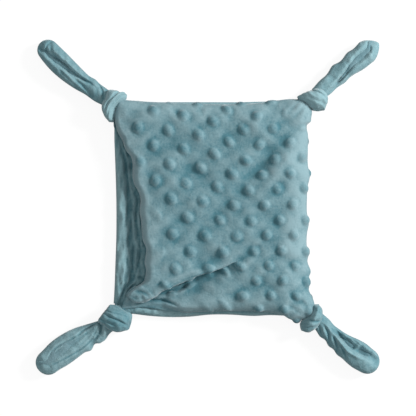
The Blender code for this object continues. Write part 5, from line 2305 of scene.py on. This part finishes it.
def shade_creases(
    made: Object, scales: tuple[tuple[int, float, float], ...], base: float = 0.0
) -> None:
    """Stores the painted light of the pile: painted shade in creases and on the dots, painted highlight on
    ridges, and the painted light and shade of folds and seams.

    Args:
        made: The piece.
        scales: For fine and broad creases: how far round a point the cloth is compared with
            it, in edges, the depth of crease that has the full tone, and the full tone.
        base: The painted light of the whole piece, above 0 where the whole piece is painted lighter.
    """
    tone = np.full(len(made.data.vertices), base)
    on_top = 1 - values_of(made, "wall")
    # Painted shade in creases and painted highlight on ridges, then the painted shade of the dots and the
    # painted light and shade of folds and seams
    for rounds, depth, strength in scales:
        tone -= on_top * strength * np.clip(hollowness(made, rounds) / depth, *CREASE_LIMITS)
    for name, strength in (("dot", DOT_PAINTED_SHADE), ("shade", SHADE_TONE)):
        tone -= strength * np.clip(values_of(made, name), *SHADE_LIMITS)
    set_attribute(made, "tone", tone)


def dress(made: Object, finish: Material, slot: str) -> None:
    """Gives a piece its finish and reports the piece.

    Args:
        made: The piece.
        finish: Its material.
        slot: The name of its slot; not used.
    """
    made.data.materials.clear()
    made.data.materials.append(finish)
    LOG.info("%s: %d faces", made.name, len(made.data.polygons))


def main() -> None:
    """Builds the lovey, piece by piece."""
    logging.basicConfig(level=logging.INFO, format="%(name)s: %(message)s")
    studio = Studio()
    studio.camera()
    studio.lamps()
    studio.floor()
    group = pile_group()
    finishes = {pile.name: pile.material(group) for pile in FINISHES}
    plan = Plan()

    cover = DottedCover(plan)
    sheet = RaisedDots().raise_on(cover.build(), finishes["dimple_dot_plush"])
    shade_creases(sheet, DOTTED_CREASES)
    main_front, front_gathers = cut_at_corners(sheet, "dimple_dot_cover", "front_gather")
    back = SmoothBackCover(plan)
    sheet = back.build()
    shade_creases(sheet, BACK_CREASES, BACK_PAINTED_LIGHT)
    main_back, back_gathers = cut_at_corners(sheet, "smooth_back_cover", "back_gather")
    covers = (
        (main_front, front_gathers, cover.thickness, "dimple_dot_plush", "front_panel"),
        (main_back, back_gathers, back.thickness, "smooth_plush", "back_panel"),
    )
    for whole, gathers, thickness, slot, node in covers:
        for piece in (whole, *gathers.values()):
            thicken(piece, thickness)
            piece.data.set_sharp_from_angle(angle=math.radians(SHARP_ANGLE))
            dress(piece, finishes[slot], slot)
        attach(whole, "blanket")
        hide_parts(node)
        for place in CORNER_PLACES:
            gather = gathers[place.corner]
            name = place.corner.value
            start, end = place.neck - BEND_START * place.axis, place.neck + BEND_END * place.axis
            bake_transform(gather)
            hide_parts(f"{name}_neck")

    for knot in KNOTS:
        made = knot.build()
        name = knot.place.corner.value
        shade_creases(made, FINE_CREASES, knot.tone)
        dress(made, finishes["smooth_plush"], "smooth_plush")
        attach(made, f"{name}_knotted_end")
        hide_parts(f"{name}_knot")
    for tail in TAILS:
        outer, lining = tail.build()
        name = tail.place.corner.value
        start = tail.place.root - SWING_START * tail.place.tail_axis
        end = tail.place.root + SWING_END * tail.place.tail_axis
        parts = (
            (outer, "smooth_plush", "tail", tail.tone),
            (lining, "inner_plush", "tail_fold", tail.lining_painted_light),
        )
        for piece, slot, node, tone in parts:
            shade_creases(piece, FINE_CREASES, tone)
            dress(piece, finishes[slot], slot)
            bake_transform(piece)
            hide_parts(f"{name}_{node}")

    pad = WaddingFill(plan).build(cover)
    dress(pad, finishes["polyester_wadding"], "polyester_wadding")
    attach(pad, "blanket")
    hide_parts("wadding_pad")
    thread = Thread().material()
    stitches = SeamStitches(plan).build(thread)
    dress(stitches, thread, "seam_thread")
    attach(stitches, "blanket")
    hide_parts("seam_thread")
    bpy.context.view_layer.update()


if __name__ == "__main__":
    main()
